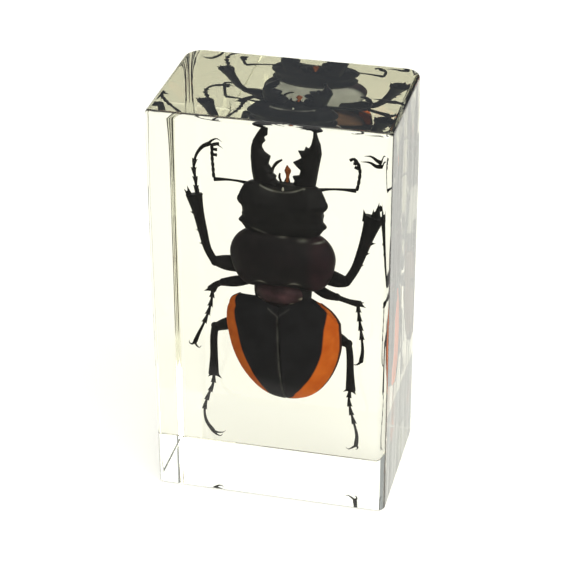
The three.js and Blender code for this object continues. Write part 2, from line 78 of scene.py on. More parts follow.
PRONOTUM = [
    (55.3, 8.2, 4.8, 8.0, 11.6),
    (56.0, 10.0, 3.6, 8.0, 12.0),
    (57.4, 11.6, 2.6, 8.0, 12.4),
    (60.0, 13.0, 1.7, 7.8, 12.8),
    (63.0, 13.8, 1.3, 7.6, 12.9),
    (65.4, 14.0, 1.3, 7.6, 12.9),
    (67.8, 13.4, 1.7, 7.6, 12.8),
    (69.8, 12.2, 2.5, 7.6, 12.5),
    (71.2, 10.6, 3.5, 7.6, 12.0),
    (72.0, 8.8, 4.8, 7.6, 11.4),
]
MESOTHORAX = [
    (50.8, 4.2, 4.6, 8.0, 11.0),
    (51.5, 5.6, 3.7, 8.0, 11.6),
    (52.5, 6.5, 3.1, 8.0, 12.0),
    (54.0, 6.8, 2.8, 8.0, 12.2),
    (55.6, 6.6, 3.0, 8.0, 12.0),
    (56.8, 5.8, 3.7, 8.0, 11.6),
    (57.8, 4.6, 4.6, 8.0, 11.2),
]
MESOTHORAX_X = -0.4
COLLAR = [
    (50.2, 6.8, 5.6, 8.0, 12.0),
    (52.0, 7.4, 4.4, 8.0, 12.4),
    (54.6, 7.7, 4.2, 8.0, 12.4),
    (57.4, 7.4, 4.6, 8.0, 12.4),
]
ELYTRA = [
    (21.5, 2.6, 7.4, 8.7, 9.4),
    (22.4, 5.2, 6.0, 8.6, 9.6),
    (24.2, 7.9, 4.6, 8.6, 9.8),
    (27.2, 10.5, 3.2, 8.5, 9.9),
    (31.2, 12.8, 1.9, 8.4, 9.9),
    (36.0, 14.5, 1.2, 8.3, 9.8),
    (41.5, 15.4, 0.9, 8.2, 9.7),
    (46.0, 15.6, 1.2, 8.1, 9.6),
    (49.4, 15.0, 2.1, 8.1, 9.5),
    (51.6, 13.4, 3.4, 8.1, 9.4),
    (53.0, 10.8, 5.0, 8.1, 9.3),
]
ABDOMEN = [
    (22.6, 3.0, 8.4, 9.4, 10.2),
    (24.4, 5.8, 7.8, 9.4, 11.0),
    (28.0, 9.2, 7.0, 9.4, 12.0),
    (33.0, 11.8, 6.0, 9.4, 12.8),
    (42.0, 13.2, 6.0, 9.2, 13.2),
    (48.0, 11.4, 6.4, 9.1, 13.1),
    (52.0, 6.6, 7.0, 9.0, 13.0),
]
BODY_ROUNDNESS = 0.85
BODY_SIDES = 240
# Each relief mark: its height, its place (x, z) and its half sizes along x and z.
HEAD_DENT = (0.5, (0.0, 81.5), (3.6, 2.6))
HEAD_RIDGES = (0.35, (7.2, 81.0), (1.1, 3.0))
CLYPEUS = {"x": -0.2, "z": 95.0, "radius": 11.2, "hollow_from": 80.0}
PRONOTUM_GROOVE = {"depth": 0.12, "half": 0.6, "from": 57.0, "to": 70.0, "fade": 3.0}
PRONOTUM_NOTCH = {"depth": 1.3, "from": 58.6, "reach": 3.0, "half": 7.0}
BELLY_RINGS = {"depth": 0.25, "from": 24.0, "length": 5.2, "sharpness": 0.3}
ELYTRA_TURN = math.radians(3.3)
ELYTRA_PIVOT = (-0.9, 8.2, 54.0)
ELYTRA_TILT = 0.14
ELYTRON = {
    "points_across": 90, "thickness": 0.7, "rim_thickness": 0.25, "full_thickness_by": 1.5,
    "under_width": 0.97, "gap": 0.03,
}
# How each shoulder widens or narrows: share of the width, the height it starts at and its reach.
SHOULDERS = {"left": (0.1, 50.0, 3.0), "right": (-0.035, 38.0, 6.0)}
# The wing cases' front edge is hollow behind the waist, and the right one is cut off aslant.
FRONT_EDGE = {"middle": 51.0, "rise": 3.0, "half": 7.5, "power": 1.5}
SHOULDER_CUT = {"height": 53.4, "from": 7.4, "slope": 0.8, "steeper_from": 12.0, "bend": 0.2}
# How wide each wing case's orange edge is, at each height.
BANDS = {
    "left": [(22.3, 0.0), (23.4, 1.9), (24.6, 2.9), (27.0, 3.6), (32.0, 4.4), (38.0, 4.2), (44.0, 4.0),
             (48.0, 3.1), (50.5, 2.5), (51.8, 1.6), (52.6, 0.5), (53.1, 0.0)],
    "right": [(21.8, 3.0), (24.0, 4.8), (27.0, 4.9), (30.0, 4.6), (34.0, 4.3), (40.0, 3.8), (45.0, 3.3),
              (48.0, 2.5), (50.7, 1.5), (53.1, 1.2)],
}
# The left wing case's orange is dimmed to 0.8, as painted shade, since less light falls on it.
BAND = {
    "softness": 0.3, "lit_share": {"left": 0.8, "right": 1.0},
    "rim_line": 0.14, "rim_fade": 0.16, "rim_least": 0.05,
}
# The groove between the wing cases ends in the two arms of the scutellum.
SUTURE = {"from": 48.4, "depth": 0.35, "half": 0.3, "line_half": 0.22, "bend_from": 44.0, "bend": 0.9}
SCUTELLUM = {"slope": 0.75, "reach": 3.0, "line_half": 0.25, "share": {"left": 0.5, "right": 0.3}}
EYE = {"x": 9.6, "y": 8.2, "z": 77.4, "radius": 1.5, "flat": 0.8}

# Mandible outlines, (x, z): up the outer edge to the tip, then down the toothed inner edge.
MANDIBLES = {
    "left": [
        (-7.6, 83.2), (-8.4, 87.6), (-8.7, 91.4), (-8.6, 94.2), (-8.1, 96.2), (-7.0, 98.2), (-6.0, 99.7),
        (-4.8, 101.6), (-3.8, 102.3), (-4.2, 100.8), (-4.2, 99.2), (-4.3, 97.8), (-5.2, 97.2), (-4.8, 96.2),
        (-5.6, 95.3), (-5.7, 94.4), (-5.0, 93.2), (-3.4, 92.1), (-3.8, 90.7), (-4.0, 89.9), (-2.8, 88.3),
        (-3.0, 87.6), (-1.9, 86.8), (-2.1, 85.9), (-1.0, 84.8), (-0.2, 84.1), (-0.9, 83.2),
    ],
    "right": [
        (8.0, 83.2), (8.6, 86.8), (9.2, 90.6), (9.8, 94.0), (9.5, 96.4), (8.8, 98.2), (8.4, 99.6),
        (8.1, 101.4), (7.4, 102.2), (7.2, 101.0), (7.5, 99.8), (7.4, 98.2), (7.0, 96.4), (6.4, 95.2),
        (5.6, 95.7), (5.2, 94.5), (3.6, 94.4), (4.3, 93.1), (4.5, 92.4), (3.4, 91.7), (2.3, 91.1),
        (3.2, 90.1), (4.3, 89.1), (4.0, 87.6), (2.2, 87.2), (2.8, 86.0), (2.1, 84.6), (1.6, 83.2),
    ],
}
MANDIBLE = {
    "y": 10.3, "half": 1.9, "tip_half": 0.7, "edge_half": 0.12, "from": 84.0, "to": 102.0, "edge": 1.5,
    "taper": 1.2, "bend": 0.9, "first_voxel": 0.13, "voxel": 0.11,
}

# Limbs: stations are (x, y, z, half width).
TONGUE = [(0.7, 10.6, 83.6, 0.36), (0.8, 10.8, 85.6, 0.42), (0.9, 10.9, 87.2, 0.5), (0.9, 11.0, 88.5, 0.85),
          (0.8, 11.0, 89.2, 0.5), (0.8, 11.0, 89.9, 0.12)]
PALPS = [
    [(-3.4, 11.2, 86.6, 0.5), (-3.0, 11.6, 88.6, 0.4), (-2.1, 11.8, 90.0, 0.44), (-0.7, 12.0, 91.0, 0.26)],
    [(0.2, 9.8, 83.4, 0.4), (-0.7, 10.2, 85.2, 0.3), (-1.2, 10.5, 86.5, 0.34), (-1.1, 10.6, 87.6, 0.22)],
    [(0.2, 10.4, 83.4, 0.3), (0.0, 10.6, 84.6, 0.22), (0.6, 10.8, 86.4, 0.2)],
    [(1.7, 10.4, 83.4, 0.3), (1.5, 10.6, 85.0, 0.22), (1.1, 10.8, 86.6, 0.2)],
]
TUFT = {"place": (0.2, 7.0, 84.0), "radii": (0.32, 0.3, 0.8)}
ANTENNAE = {
    "left": {
        "scape": [(-8.2, 8.6, 84.2, 0.7), (-11.4, 9.1, 84.6, 0.36), (-14.4, 9.5, 84.6, 0.34),
                  (-18.4, 10.3, 84.1, 0.6)],
        "funicle": [(-18.5, 10.4, 84.5), (-18.7, 10.7, 87.2), (-19.0, 11.4, 90.2), (-19.1, 12.0, 93.2)],
        "plates": [
            ((-19.0, 11.5, 90.7), (-17.7, 11.7, 90.6)),
            ((-19.1, 11.8, 92.1), (-17.7, 12.0, 92.0)),
            ((-19.2, 12.0, 93.4), (-17.2, 12.2, 93.7)),
        ],
    },
    "right": {
        "scape": [(8.4, 8.8, 84.2, 0.7), (11.6, 9.2, 84.8, 0.36), (14.6, 9.6, 85.0, 0.34),
                  (18.8, 10.2, 84.9, 0.6)],
        "funicle": [(18.9, 10.3, 84.9), (19.4, 10.6, 87.6), (19.5, 11.0, 90.7), (18.8, 11.2, 92.6),
                    (17.7, 11.4, 93.5)],
        "plates": [
            ((19.4, 11.0, 90.6), (18.2, 11.0, 91.3)),
            ((18.9, 11.2, 92.1), (17.8, 11.2, 92.2)),
            ((17.8, 11.4, 93.4), (16.9, 11.5, 92.8)),
        ],
    },
}
ANTENNA = {
    "stations": 49, "beads": 6, "half": 0.33, "swell": 0.13, "plate_halves": (0.3, 0.42, 0.46),
    "plate_flatness": 0.9, "voxel": 0.09,
}
LEGS = {
    "left_fore": {
        "femur": [(-8.0, 11.0, 59.6, 2.3), (-12.4, 10.6, 60.0, 2.4), (-15.8, 9.8, 60.3, 2.2),
                  (-18.6, 9.4, 60.6, 1.4)],
        "tibia": [(-18.5, 9.4, 60.2, 1.1), (-20.4, 9.5, 63.8, 1.1), (-21.7, 9.8, 69.0, 1.3),
                  (-22.9, 10.1, 74.6, 1.6), (-23.9, 10.2, 79.3, 2.3)],
        "spines": [
            ((-25.0, 10.2, 78.4), (-26.7, 10.3, 80.6), 0.8),
            ((-24.9, 10.2, 78.6), (-25.7, 10.2, 81.7), 0.8),
            ((-22.6, 10.2, 78.4), (-21.3, 10.2, 79.7), 0.8),
            ((-22.9, 10.2, 78.8), (-22.4, 10.2, 81.2), 0.5),
            ((-23.4, 10.0, 73.6), (-25.2, 10.0, 74.2), 0.6), ((-22.2, 9.8, 68.9), (-23.8, 9.8, 69.1), 0.5),
            ((-21.4, 9.6, 65.4), (-23.0, 9.6, 65.2), 0.45),
        ],
        "tarsus": [(-23.2, 10.2, 79.0), (-23.3, 10.1, 83.2), (-23.7, 10.0, 87.0), (-22.7, 9.9, 91.1),
                   (-21.1, 9.9, 93.2), (-19.3, 9.8, 94.2)],
        "claws": [
            [(-19.6, 9.8, 94.2), (-18.5, 9.6, 95.3), (-17.4, 9.5, 95.8), (-15.9, 9.1, 95.1)],
            [(-19.6, 9.8, 94.1), (-18.5, 10.0, 93.7), (-17.4, 10.1, 93.9), (-15.9, 10.5, 92.9)],
        ],
    },
    "right_fore": {
        "femur": [(7.6, 11.0, 60.0, 2.3), (11.4, 10.6, 59.2, 2.4), (14.6, 9.8, 58.7, 2.1),
                  (16.8, 9.4, 58.6, 1.5)],
        "tibia": [(16.6, 9.4, 58.4, 1.2), (18.9, 9.4, 62.6, 1.2), (20.6, 9.6, 67.6, 1.4),
                  (22.1, 9.8, 72.8, 1.8), (23.6, 10.0, 78.0, 2.6)],
        "spines": [
            ((21.4, 10.0, 76.8), (20.7, 10.0, 80.2), 1.0), ((23.3, 10.0, 77.6), (23.3, 10.1, 80.4), 0.8),
            ((24.1, 10.0, 77.6), (24.8, 10.2, 82.5), 1.25), ((25.5, 10.0, 77.4), (26.9, 10.2, 79.6), 0.9),
            ((22.6, 9.9, 70.3), (24.2, 9.9, 70.6), 0.6), ((21.4, 9.8, 67.2), (22.8, 9.8, 67.6), 0.5),
            ((20.0, 9.6, 63.6), (21.3, 9.6, 64.1), 0.45),
        ],
        "tarsus": [(23.6, 10.8, 78.6), (26.0, 11.4, 81.4), (27.9, 11.6, 84.6), (28.3, 11.4, 88.0),
                   (27.7, 11.0, 91.0), (25.8, 10.4, 92.9)],
        "claws": [
            [(26.0, 10.4, 92.9), (24.2, 9.9, 93.8), (22.4, 9.7, 95.0), (20.6, 9.5, 94.9)],
            [(26.0, 10.4, 92.7), (23.9, 10.6, 92.1), (22.2, 10.8, 92.9), (19.6, 11.0, 92.9)],
        ],
        "claw_root": 0.85,
    },
    "left_mid": {
        "femur": [(-5.0, 12.0, 56.6, 1.2), (-9.4, 11.0, 55.6, 1.3), (-13.0, 9.6, 55.1, 1.6),
                  (-16.6, 8.4, 54.7, 1.1)],
        "tibia": [(-16.2, 8.4, 54.8, 0.9), (-18.2, 9.2, 53.6, 0.9), (-19.8, 10.0, 51.6, 1.3)],
        "spines": [
            ((-20.0, 10.0, 51.8), (-22.0, 10.0, 50.9), 0.7), ((-19.4, 10.0, 52.0), (-18.2, 10.0, 51.2), 0.6),
        ],
        "tarsus": [(-19.4, 10.0, 52.2), (-19.7, 9.9, 49.0), (-20.7, 9.7, 44.8), (-22.0, 9.5, 41.2),
                   (-23.5, 9.3, 37.8), (-24.6, 9.2, 35.0)],
        "claws": [
            [(-24.6, 9.2, 35.3), (-25.4, 9.1, 34.4), (-26.1, 9.1, 34.8), (-26.0, 9.1, 35.7)],
            [(-24.6, 9.2, 35.2), (-24.1, 9.3, 34.0), (-23.4, 9.3, 33.5), (-22.8, 9.3, 34.3)],
        ],
    },
    "right_mid": {
        "femur": [(4.0, 12.0, 57.4, 1.3), (8.0, 10.8, 55.8, 1.5), (11.4, 9.6, 54.3, 1.5),
                  (14.6, 8.8, 53.9, 1.0)],
        "tibia": [(14.2, 8.8, 54.0, 0.8), (17.4, 9.4, 52.9, 0.8), (20.4, 10.0, 52.2, 1.1)],
        "spines": [
            ((20.2, 10.0, 52.2), (22.0, 10.0, 51.3), 0.7), ((20.4, 10.0, 52.6), (21.6, 10.0, 52.9), 0.4),
        ],
        "tarsus": [(19.7, 10.0, 52.8), (20.0, 9.9, 49.6), (20.6, 9.7, 45.2), (21.1, 9.4, 41.4),
                   (21.3, 9.3, 38.2), (20.9, 9.1, 34.9)],
        "claws": [
            [(20.9, 9.1, 35.2), (20.2, 9.0, 34.4), (19.5, 9.0, 34.0), (18.7, 9.0, 34.2)],
            [(20.9, 9.1, 35.2), (20.3, 9.6, 34.2), (19.7, 9.9, 33.7), (19.0, 10.1, 33.8)],
        ],
    },
    "left_hind": {
        "femur": [(-8.0, 12.2, 43.4, 1.6), (-12.6, 11.6, 42.4, 1.9), (-16.4, 10.0, 41.4, 1.7),
                  (-19.0, 9.0, 40.4, 1.1)],
        "tibia": [(-18.8, 9.0, 41.0, 1.0), (-19.2, 9.0, 37.6, 1.05), (-19.3, 9.1, 32.0, 1.1),
                  (-19.5, 9.0, 25.6, 1.5)],
        "spines": [
            ((-18.7, 9.0, 26.0), (-17.1, 9.0, 24.5), 0.6), ((-20.0, 9.0, 26.0), (-21.2, 9.0, 24.6), 0.6),
        ],
        "tarsus": [(-19.4, 9.0, 26.4), (-19.6, 8.3, 23.1), (-20.9, 7.2, 19.4), (-21.8, 6.0, 15.5),
                   (-21.2, 4.7, 12.2), (-18.9, 3.5, 9.3)],
        "claws": [
            [(-19.1, 3.6, 9.4), (-17.5, 3.4, 9.3), (-16.3, 3.3, 9.6), (-15.4, 3.2, 10.4)],
            [(-19.1, 3.6, 9.3), (-17.9, 3.5, 8.4), (-17.0, 3.5, 8.3), (-16.4, 3.5, 9.0)],
        ],
    },
    "right_hind": {
        "femur": [(7.6, 12.2, 43.0, 1.6), (12.0, 11.4, 41.8, 1.8), (15.4, 10.0, 40.8, 1.7),
                  (17.8, 9.0, 39.9, 1.0)],
        "tibia": [(17.5, 9.0, 40.4, 0.9), (17.9, 9.0, 37.4, 0.95), (18.1, 9.0, 31.6, 1.05),
                  (18.3, 9.0, 25.8, 1.4)],
        "spines": [
            ((17.8, 9.0, 26.3), (16.1, 9.0, 25.1), 0.6), ((18.8, 9.0, 26.0), (19.9, 9.0, 24.6), 0.6),
        ],
        "tarsus": [(18.2, 9.0, 26.6), (17.9, 8.8, 23.3), (18.4, 8.6, 19.8), (19.5, 8.4, 15.7),
                   (20.3, 8.2, 11.8), (20.1, 8.0, 8.9)],
        "claws": [
            [(20.2, 8.0, 9.1), (19.0, 7.9, 8.1), (18.0, 7.8, 7.6), (17.3, 7.7, 8.2)],
            [(20.2, 8.0, 9.1), (20.6, 8.1, 8.3), (20.3, 8.2, 7.7), (19.8, 8.2, 7.7)],
        ],
    },
}
LEG = {"flatness": 0.75, "knee": (1.15, 0.95, 1.15), "voxel": 0.11}
PALP_VOXEL = 0.08
# A segment of the foot swells by a power of the way along it, and is rounded off at its end.
TARSUS = {
    "ends": (0, 15, 30, 45, 60, 100), "joint": 0.33, "swell": 0.72, "last": 0.66,
    "power": 1.6, "last_power": 1.3, "round_to": 1.12, "round_over": 0.2, "round_least": 0.5,
    "spine_root": 0.35, "spine_out": 0.55, "spine_ahead": 0.75, "spine_half": 0.28,
}
CLAW = {"root": 0.46, "tip": 0.06, "stations": 16, "taper": 0.8}
SPINE = {"stations": 8, "taper": 1.3, "tip": 0.03}

# Painted highlights on the back: share, place (x, z), half sizes, slope, bow.
GLINTS = {
    "head": [(0.8, (-5.9, 72.5), (1.7, 0.3), -0.3, 0.0)],
    "pronotum": [
        (1.0, (-5.4, 58.3), (1.4, 0.24), 0.0, -0.16),
        (1.0, (3.9, 58.7), (1.4, 0.24), 0.0, -0.16),
        (0.5, (0.3, 71.5), (1.2, 0.3), 0.0, 0.0),
        (0.7, (5.7, 71.1), (1.2, 0.45), 0.0, 0.0),
        (0.9, (10.0, 70.6), (1.4, 0.22), 0.1, 0.0),
    ],
    "mesothorax": [
        (1.0, place, (0.55, 0.3), 0.0, 0.0)
        for place in ((-6.2, 52.6), (-5.0, 51.9), (3.2, 52.0), (5.4, 53.6))
    ],
}
GLINTS_END_AT_Y = {"head": 7.6, "pronotum": 7.0, "mesothorax": 7.0}
# The painted highlight line just behind the head's hollow front edge, which fades towards its middle.
CLYPEUS_HIGHLIGHT = {
    "behind": 0.28, "half": 0.17, "x": 0.6, "fade": 4.0, "least": 0.2, "reach": 6.0, "reach_x": 0.1,
}
BARREL_BROWN = ((-0.2, 54.6), (5.6, 2.4))
# The pronotum's right side is painted lighter and redder, as painted light from the right.
PRONOTUM_LIT_SIDE = {"from_x": 6.4, "fade": 2.6, "to_y": 9.0}
BELLY_FADE = 1.2
# Where the painted silvery reflection on the pronotum's belly starts.
PRONOTUM_SILVERING_FROM = 9.0
ABDOMEN_BELLY_FROM = 10.5

# ---------------------------------------------------------------- curves and rings


def smooth_rows(rows, per_span):
    """Cubic curve through rows of numbers, spaced by the distance between them."""
    rows = np.array(rows, dtype=float)
    last = len(rows) - 1
    gaps = np.maximum(np.linalg.norm(np.diff(rows[:, :3], axis=0), axis=1), 1e-6)
    at = np.concatenate([[0.0], np.cumsum(gaps)])
    slopes = np.empty_like(rows)
    slopes[0] = (rows[1] - rows[0]) / gaps[0]
    slopes[-1] = (rows[-1] - rows[-2]) / gaps[-1]
    for i in range(1, last):
        before = (rows[i] - rows[i - 1]) / gaps[i - 1]
        after = (rows[i + 1] - rows[i]) / gaps[i]
        slopes[i] = (before * gaps[i] + after * gaps[i - 1]) / (gaps[i] + gaps[i - 1])
    out = []
    for i in range(last):
        for step in range(per_span):
            t = step / per_span
            a = 2 * t**3 - 3 * t**2 + 1
            b = t**3 - 2 * t**2 + t
            c = -2 * t**3 + 3 * t**2
            d = t**3 - t**2
            out.append(a * rows[i] + b * gaps[i] * slopes[i] + c * rows[i + 1] + d * gaps[i] * slopes[i + 1])
    out.append(rows[-1])
    return np.array(out)


def resample(rows, count):
    """The rows' curve again, at evenly spaced places."""
    gaps = np.linalg.norm(np.diff(rows[:, :3], axis=0), axis=1)
    at = np.concatenate([[0.0], np.cumsum(gaps)])
    even = np.linspace(0.0, at[-1], count)
    return np.stack([np.interp(even, at, rows[:, i]) for i in range(rows.shape[1])], axis=1)


def ring_faces(rows, sides):
    """Quads between the rings, and a cap at each end."""
    faces = []
    for r in range(rows - 1):
        for s in range(sides):
            n = (s + 1) % sides
            faces.append((r * sides + s, r * sides + n, (r + 1) * sides + n, (r + 1) * sides + s))
    faces.append(tuple(reversed(range(sides))))
    faces.append(tuple((rows - 1) * sides + s for s in range(sides)))
    return faces


def body_shape(sections, sides=96, per_span=8, relief=None):
    """A body segment: rings between its back, rims and belly. relief moves the points (x, y, z, angle)."""
    rows = smooth_rows(sections, per_span)
    angle = np.linspace(0, 2 * math.pi, sides, endpoint=False)
    sin, cos = np.sin(angle), np.cos(angle)
    out_x = np.sign(sin) * np.abs(sin) ** BODY_ROUNDNESS
    out_y = -np.sign(cos) * np.abs(cos) ** BODY_ROUNDNESS
    points = []
    for level, half, back, rim, belly in rows:
        reach = np.where(out_y < 0, rim - back, belly - rim)
        ring = np.stack([half * out_x, rim + out_y * reach, np.full(sides, level)], axis=1)
        points.append(ring)
    points = np.array(points)
    if relief is not None:
        points = relief(points, angle)
    return points.reshape(-1, 3), ring_faces(len(rows), sides)


def tube_shape(rows, sides=20, flatness=1.0):
    """A limb: rings across the path of stations (x, y, z, half width)."""
    path = rows[:, :3]
    along = np.gradient(path, axis=0)
    along /= np.linalg.norm(along, axis=1, keepdims=True)
    across = np.cross(np.array([0.0, 1.0, 0.0]), along)
    across /= np.linalg.norm(across, axis=1, keepdims=True)
    through = np.cross(along, across)
    angle = np.linspace(0, 2 * math.pi, sides, endpoint=False)
    points = []
    for i, row in enumerate(rows):
        wide = np.outer(np.cos(angle), across[i])
        thick = flatness * np.outer(np.sin(angle), through[i])
        points.append(path[i] + row[3] * (wide + thick))
    return np.array(points).reshape(-1, 3), ring_faces(len(rows), sides)


def cone_shape(base, tip, radius, sides=12):
    """A spine: it narrows in a hollow curve from its base to a fine tip."""
    base, tip = np.array(base), np.array(tip)
    steps = np.linspace(0, 1, SPINE["stations"])
    rows = [[*(base + (tip - base) * t), radius * (1 - t) ** SPINE["taper"] + SPINE["tip"]] for t in steps]
    return tube_shape(np.array(rows), sides)


def ball_shape(centre, radii, sides=24):
    """An ellipsoid."""
    mesh = bmesh.new()
    bmesh.ops.create_uvsphere(mesh, u_segments=sides, v_segments=sides // 2, radius=1.0)
    points = np.array([v.co[:] for v in mesh.verts]) * np.array(radii) + np.array(centre)
    mesh.verts.index_update()
    faces = [tuple(v.index for v in f.verts) for f in mesh.faces]
    mesh.free()
    return points, faces


def lean(points):
    """Tilts the hind body's back to -X and turns it about its front end, its tip to +X."""
    x0, y0, z0 = ELYTRA_PIVOT
    c, s = math.cos(ELYTRA_TURN), math.sin(ELYTRA_TURN)
    dx = points[:, 0] - x0 + ELYTRA_TILT * (points[:, 1] - y0)
    dz = points[:, 2] - z0
    return np.stack([x0 + c * dx - s * dz, points[:, 1], z0 + s * dx + c * dz], axis=1)


# ---------------------------------------------------------------- making pieces


def add_piece(name, shapes, material):
    """One object from one or more (points, faces) shapes given in millimetres."""
    mesh = bpy.data.meshes.new(name)
    points, faces = [], []
    for shape_points, shape_faces in shapes:
        start = len(points)
        points.extend((np.array(shape_points) * MM).tolist())
        faces.extend(tuple(i + start for i in face) for face in shape_faces)
    mesh.from_pydata(points, [], faces)
    mesh.materials.append(material)
    mesh.validate()
    face_out(mesh)
    mesh.polygons.foreach_set("use_smooth", [True] * len(mesh.polygons))
    piece = bpy.data.objects.new(name, mesh)
    bpy.context.collection.objects.link(piece)
    return piece


def face_out(mesh):
    """Turns every face outwards."""
    work = bmesh.new()
    work.from_mesh(mesh)
    bmesh.ops.recalc_face_normals(work, faces=work.faces)
    work.to_mesh(mesh)
    work.free()


def apply_modifiers(piece):
    """Puts the shape that the modifiers make into the piece's own mesh."""
    graph = bpy.context.evaluated_depsgraph_get()
    graph.update()
    mesh = bpy.data.meshes.new_from_object(piece.evaluated_get(graph))
    old = piece.data
    name = old.name
    piece.modifiers.clear()
    piece.data = mesh
    bpy.data.meshes.remove(old)
    mesh.name = name


def fuse(piece, voxel, smoothing=2):
    """Joins the overlapping shapes of a piece into one skin."""
    remesh = piece.modifiers.new("fuse", "REMESH")
    remesh.mode = "VOXEL"
    remesh.voxel_size = voxel * MM
    remesh.use_smooth_shade = True
    if smoothing:
        relax = piece.modifiers.new("relax", "SMOOTH")
        relax.factor = 0.5
        relax.iterations = smoothing
    apply_modifiers(piece)
    return piece


def beetle_part(piece):
    """Puts a piece of the beetle on the part's body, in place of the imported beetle."""
    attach(piece, ROOT)
    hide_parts(BEETLE_NODE)
    return piece


# ---------------------------------------------------------------- materials


SHELL = {
    "broad_scale": 260.0, "tones": (0.35, 0.7), "mark_tones": (0.3, 0.7), "gloss_spread": 0.05,
    "relief": 0.08,
}
RESIN_LOOK = {
    "ior": 1.56, "gloss": 0.12, "tint": (0.88, 0.87, 0.66), "density": 10.0,
    "wave_scale": 300.0, "wave_detail": 2.0, "wave_stretch": 0.12, "wave_height": 0.12,
    "waves_from": 0.4, "waves_full": 0.05,
}


def new_material(name):
    """A new material with its nodes, its links and its shader."""
    material = bpy.data.materials.new(name)
    material.use_nodes = True
    nodes, links = material.node_tree.nodes, material.node_tree.links
    return material, nodes, links, nodes["Principled BSDF"]


def noise(nodes, links, where, scale, detail=4.0):
    """The value of a noise texture."""
    texture = nodes.new("ShaderNodeTexNoise")
    texture.inputs["Scale"].default_value = scale
    texture.inputs["Detail"].default_value = detail
    links.new(where, texture.inputs["Vector"])
    return texture.outputs["Fac"]


def ramp(nodes, links, value, stops):
    """The colour at value on a ramp of (place, colour) stops."""
    colours = nodes.new("ShaderNodeValToRGB")
    elements = colours.color_ramp.elements
    while len(elements) < len(stops):
        elements.new(0.5)
    for element, (place, colour) in zip(elements, stops):
        element.position = place
        element.color = (*colour, 1.0)
    links.new(value, colours.inputs["Fac"])
    return colours.outputs["Color"]


def mix_in(nodes, links, share, under, over):
    """over laid on under, by share."""
    mixed = nodes.new("ShaderNodeMix")
    mixed.data_type = "RGBA"
    links.new(share, mixed.inputs["Factor"])
    links.new(under, mixed.inputs["A"])
    links.new(over, mixed.inputs["B"])
    return mixed.outputs["Result"]


def chitin(name, dark, light, roughness=0.5, grain=3500.0, bump=0.04, gloss_level=0.12, marks=()):
    """Beetle shell: two close tones, uneven gloss and fine grain.

    marks are (attribute, dark, light): tones laid where the piece's own attribute says so.
    """
    material, nodes, links, shader = new_material(name)
    where = nodes.new("ShaderNodeTexCoord").outputs["Object"]
    broad = noise(nodes, links, where, SHELL["broad_scale"])
    fine = noise(nodes, links, where, grain)
    tone = ramp(nodes, links, broad, list(zip(SHELL["tones"], (dark, light))))
    for attribute, mark_dark, mark_light in marks:
        share = nodes.new("ShaderNodeAttribute")
        share.attribute_name = attribute
        over = ramp(nodes, links, broad, list(zip(SHELL["mark_tones"], (mark_dark, mark_light))))
        tone = mix_in(nodes, links, share.outputs["Fac"], tone, over)
    links.new(tone, shader.inputs["Base Color"])
    gloss = nodes.new("ShaderNodeMapRange")
    gloss.inputs["To Min"].default_value = roughness - SHELL["gloss_spread"]
    gloss.inputs["To Max"].default_value = roughness + SHELL["gloss_spread"]
    links.new(fine, gloss.inputs["Value"])
    links.new(gloss.outputs["Result"], shader.inputs["Roughness"])
    shader.inputs["Specular IOR Level"].default_value = gloss_level
    relief = nodes.new("ShaderNodeBump")
    relief.inputs["Strength"].default_value = bump
    relief.inputs["Distance"].default_value = SHELL["relief"] * MM
    links.new(fine, relief.inputs["Height"])
    links.new(relief.outputs["Normal"], shader.inputs["Normal"])
    return material


def resin_material():
    """Clear polyester resin with a trace of cream in its depth. Its right side is polished a little wavy."""
    material, nodes, links, shader = new_material("clear_resin")
    shader.inputs["Base Color"].default_value = (1.0, 1.0, 1.0, 1.0)
    shader.inputs["Roughness"].default_value = 0.0
    shader.inputs["IOR"].default_value = RESIN_LOOK["ior"]
    shader.inputs["Specular IOR Level"].default_value = RESIN_LOOK["gloss"]
    shader.inputs["Transmission Weight"].default_value = 1.0
    where = nodes.new("ShaderNodeTexCoord").outputs["Object"]
    stretch = nodes.new("ShaderNodeMapping")
    stretch.inputs["Scale"].default_value = (1.0, 1.0, RESIN_LOOK["wave_stretch"])
    links.new(where, stretch.inputs["Vector"])
    split = nodes.new("ShaderNodeSeparateXYZ")
    links.new(where, split.inputs["Vector"])
    on_right = nodes.new("ShaderNodeMapRange")
    on_right.inputs["From Min"].default_value = (BLOCK["width"] / 2 - RESIN_LOOK["waves_from"]) * MM
    on_right.inputs["From Max"].default_value = (BLOCK["width"] / 2 - RESIN_LOOK["waves_full"]) * MM
    links.new(split.outputs["X"], on_right.inputs["Value"])
    streaks = noise(
        nodes, links, stretch.outputs["Vector"], RESIN_LOOK["wave_scale"], RESIN_LOOK["wave_detail"],
    )
    waves = nodes.new("ShaderNodeMath")
    waves.operation = "MULTIPLY"
    links.new(streaks, waves.inputs[0])
    links.new(on_right.outputs["Result"], waves.inputs[1])
    polish = nodes.new("ShaderNodeBump")
    polish.inputs["Distance"].default_value = RESIN_LOOK["wave_height"] * MM
    links.new(waves.outputs["Value"], polish.inputs["Height"])
    links.new(polish.outputs["Normal"], shader.inputs["Normal"])
    depth = nodes.new("ShaderNodeVolumeAbsorption")
    depth.inputs["Color"].default_value = (*RESIN_LOOK["tint"], 1.0)
    depth.inputs["Density"].default_value = RESIN_LOOK["density"]
    links.new(depth.outputs["Volume"], nodes["Material Output"].inputs["Volume"])
    return material
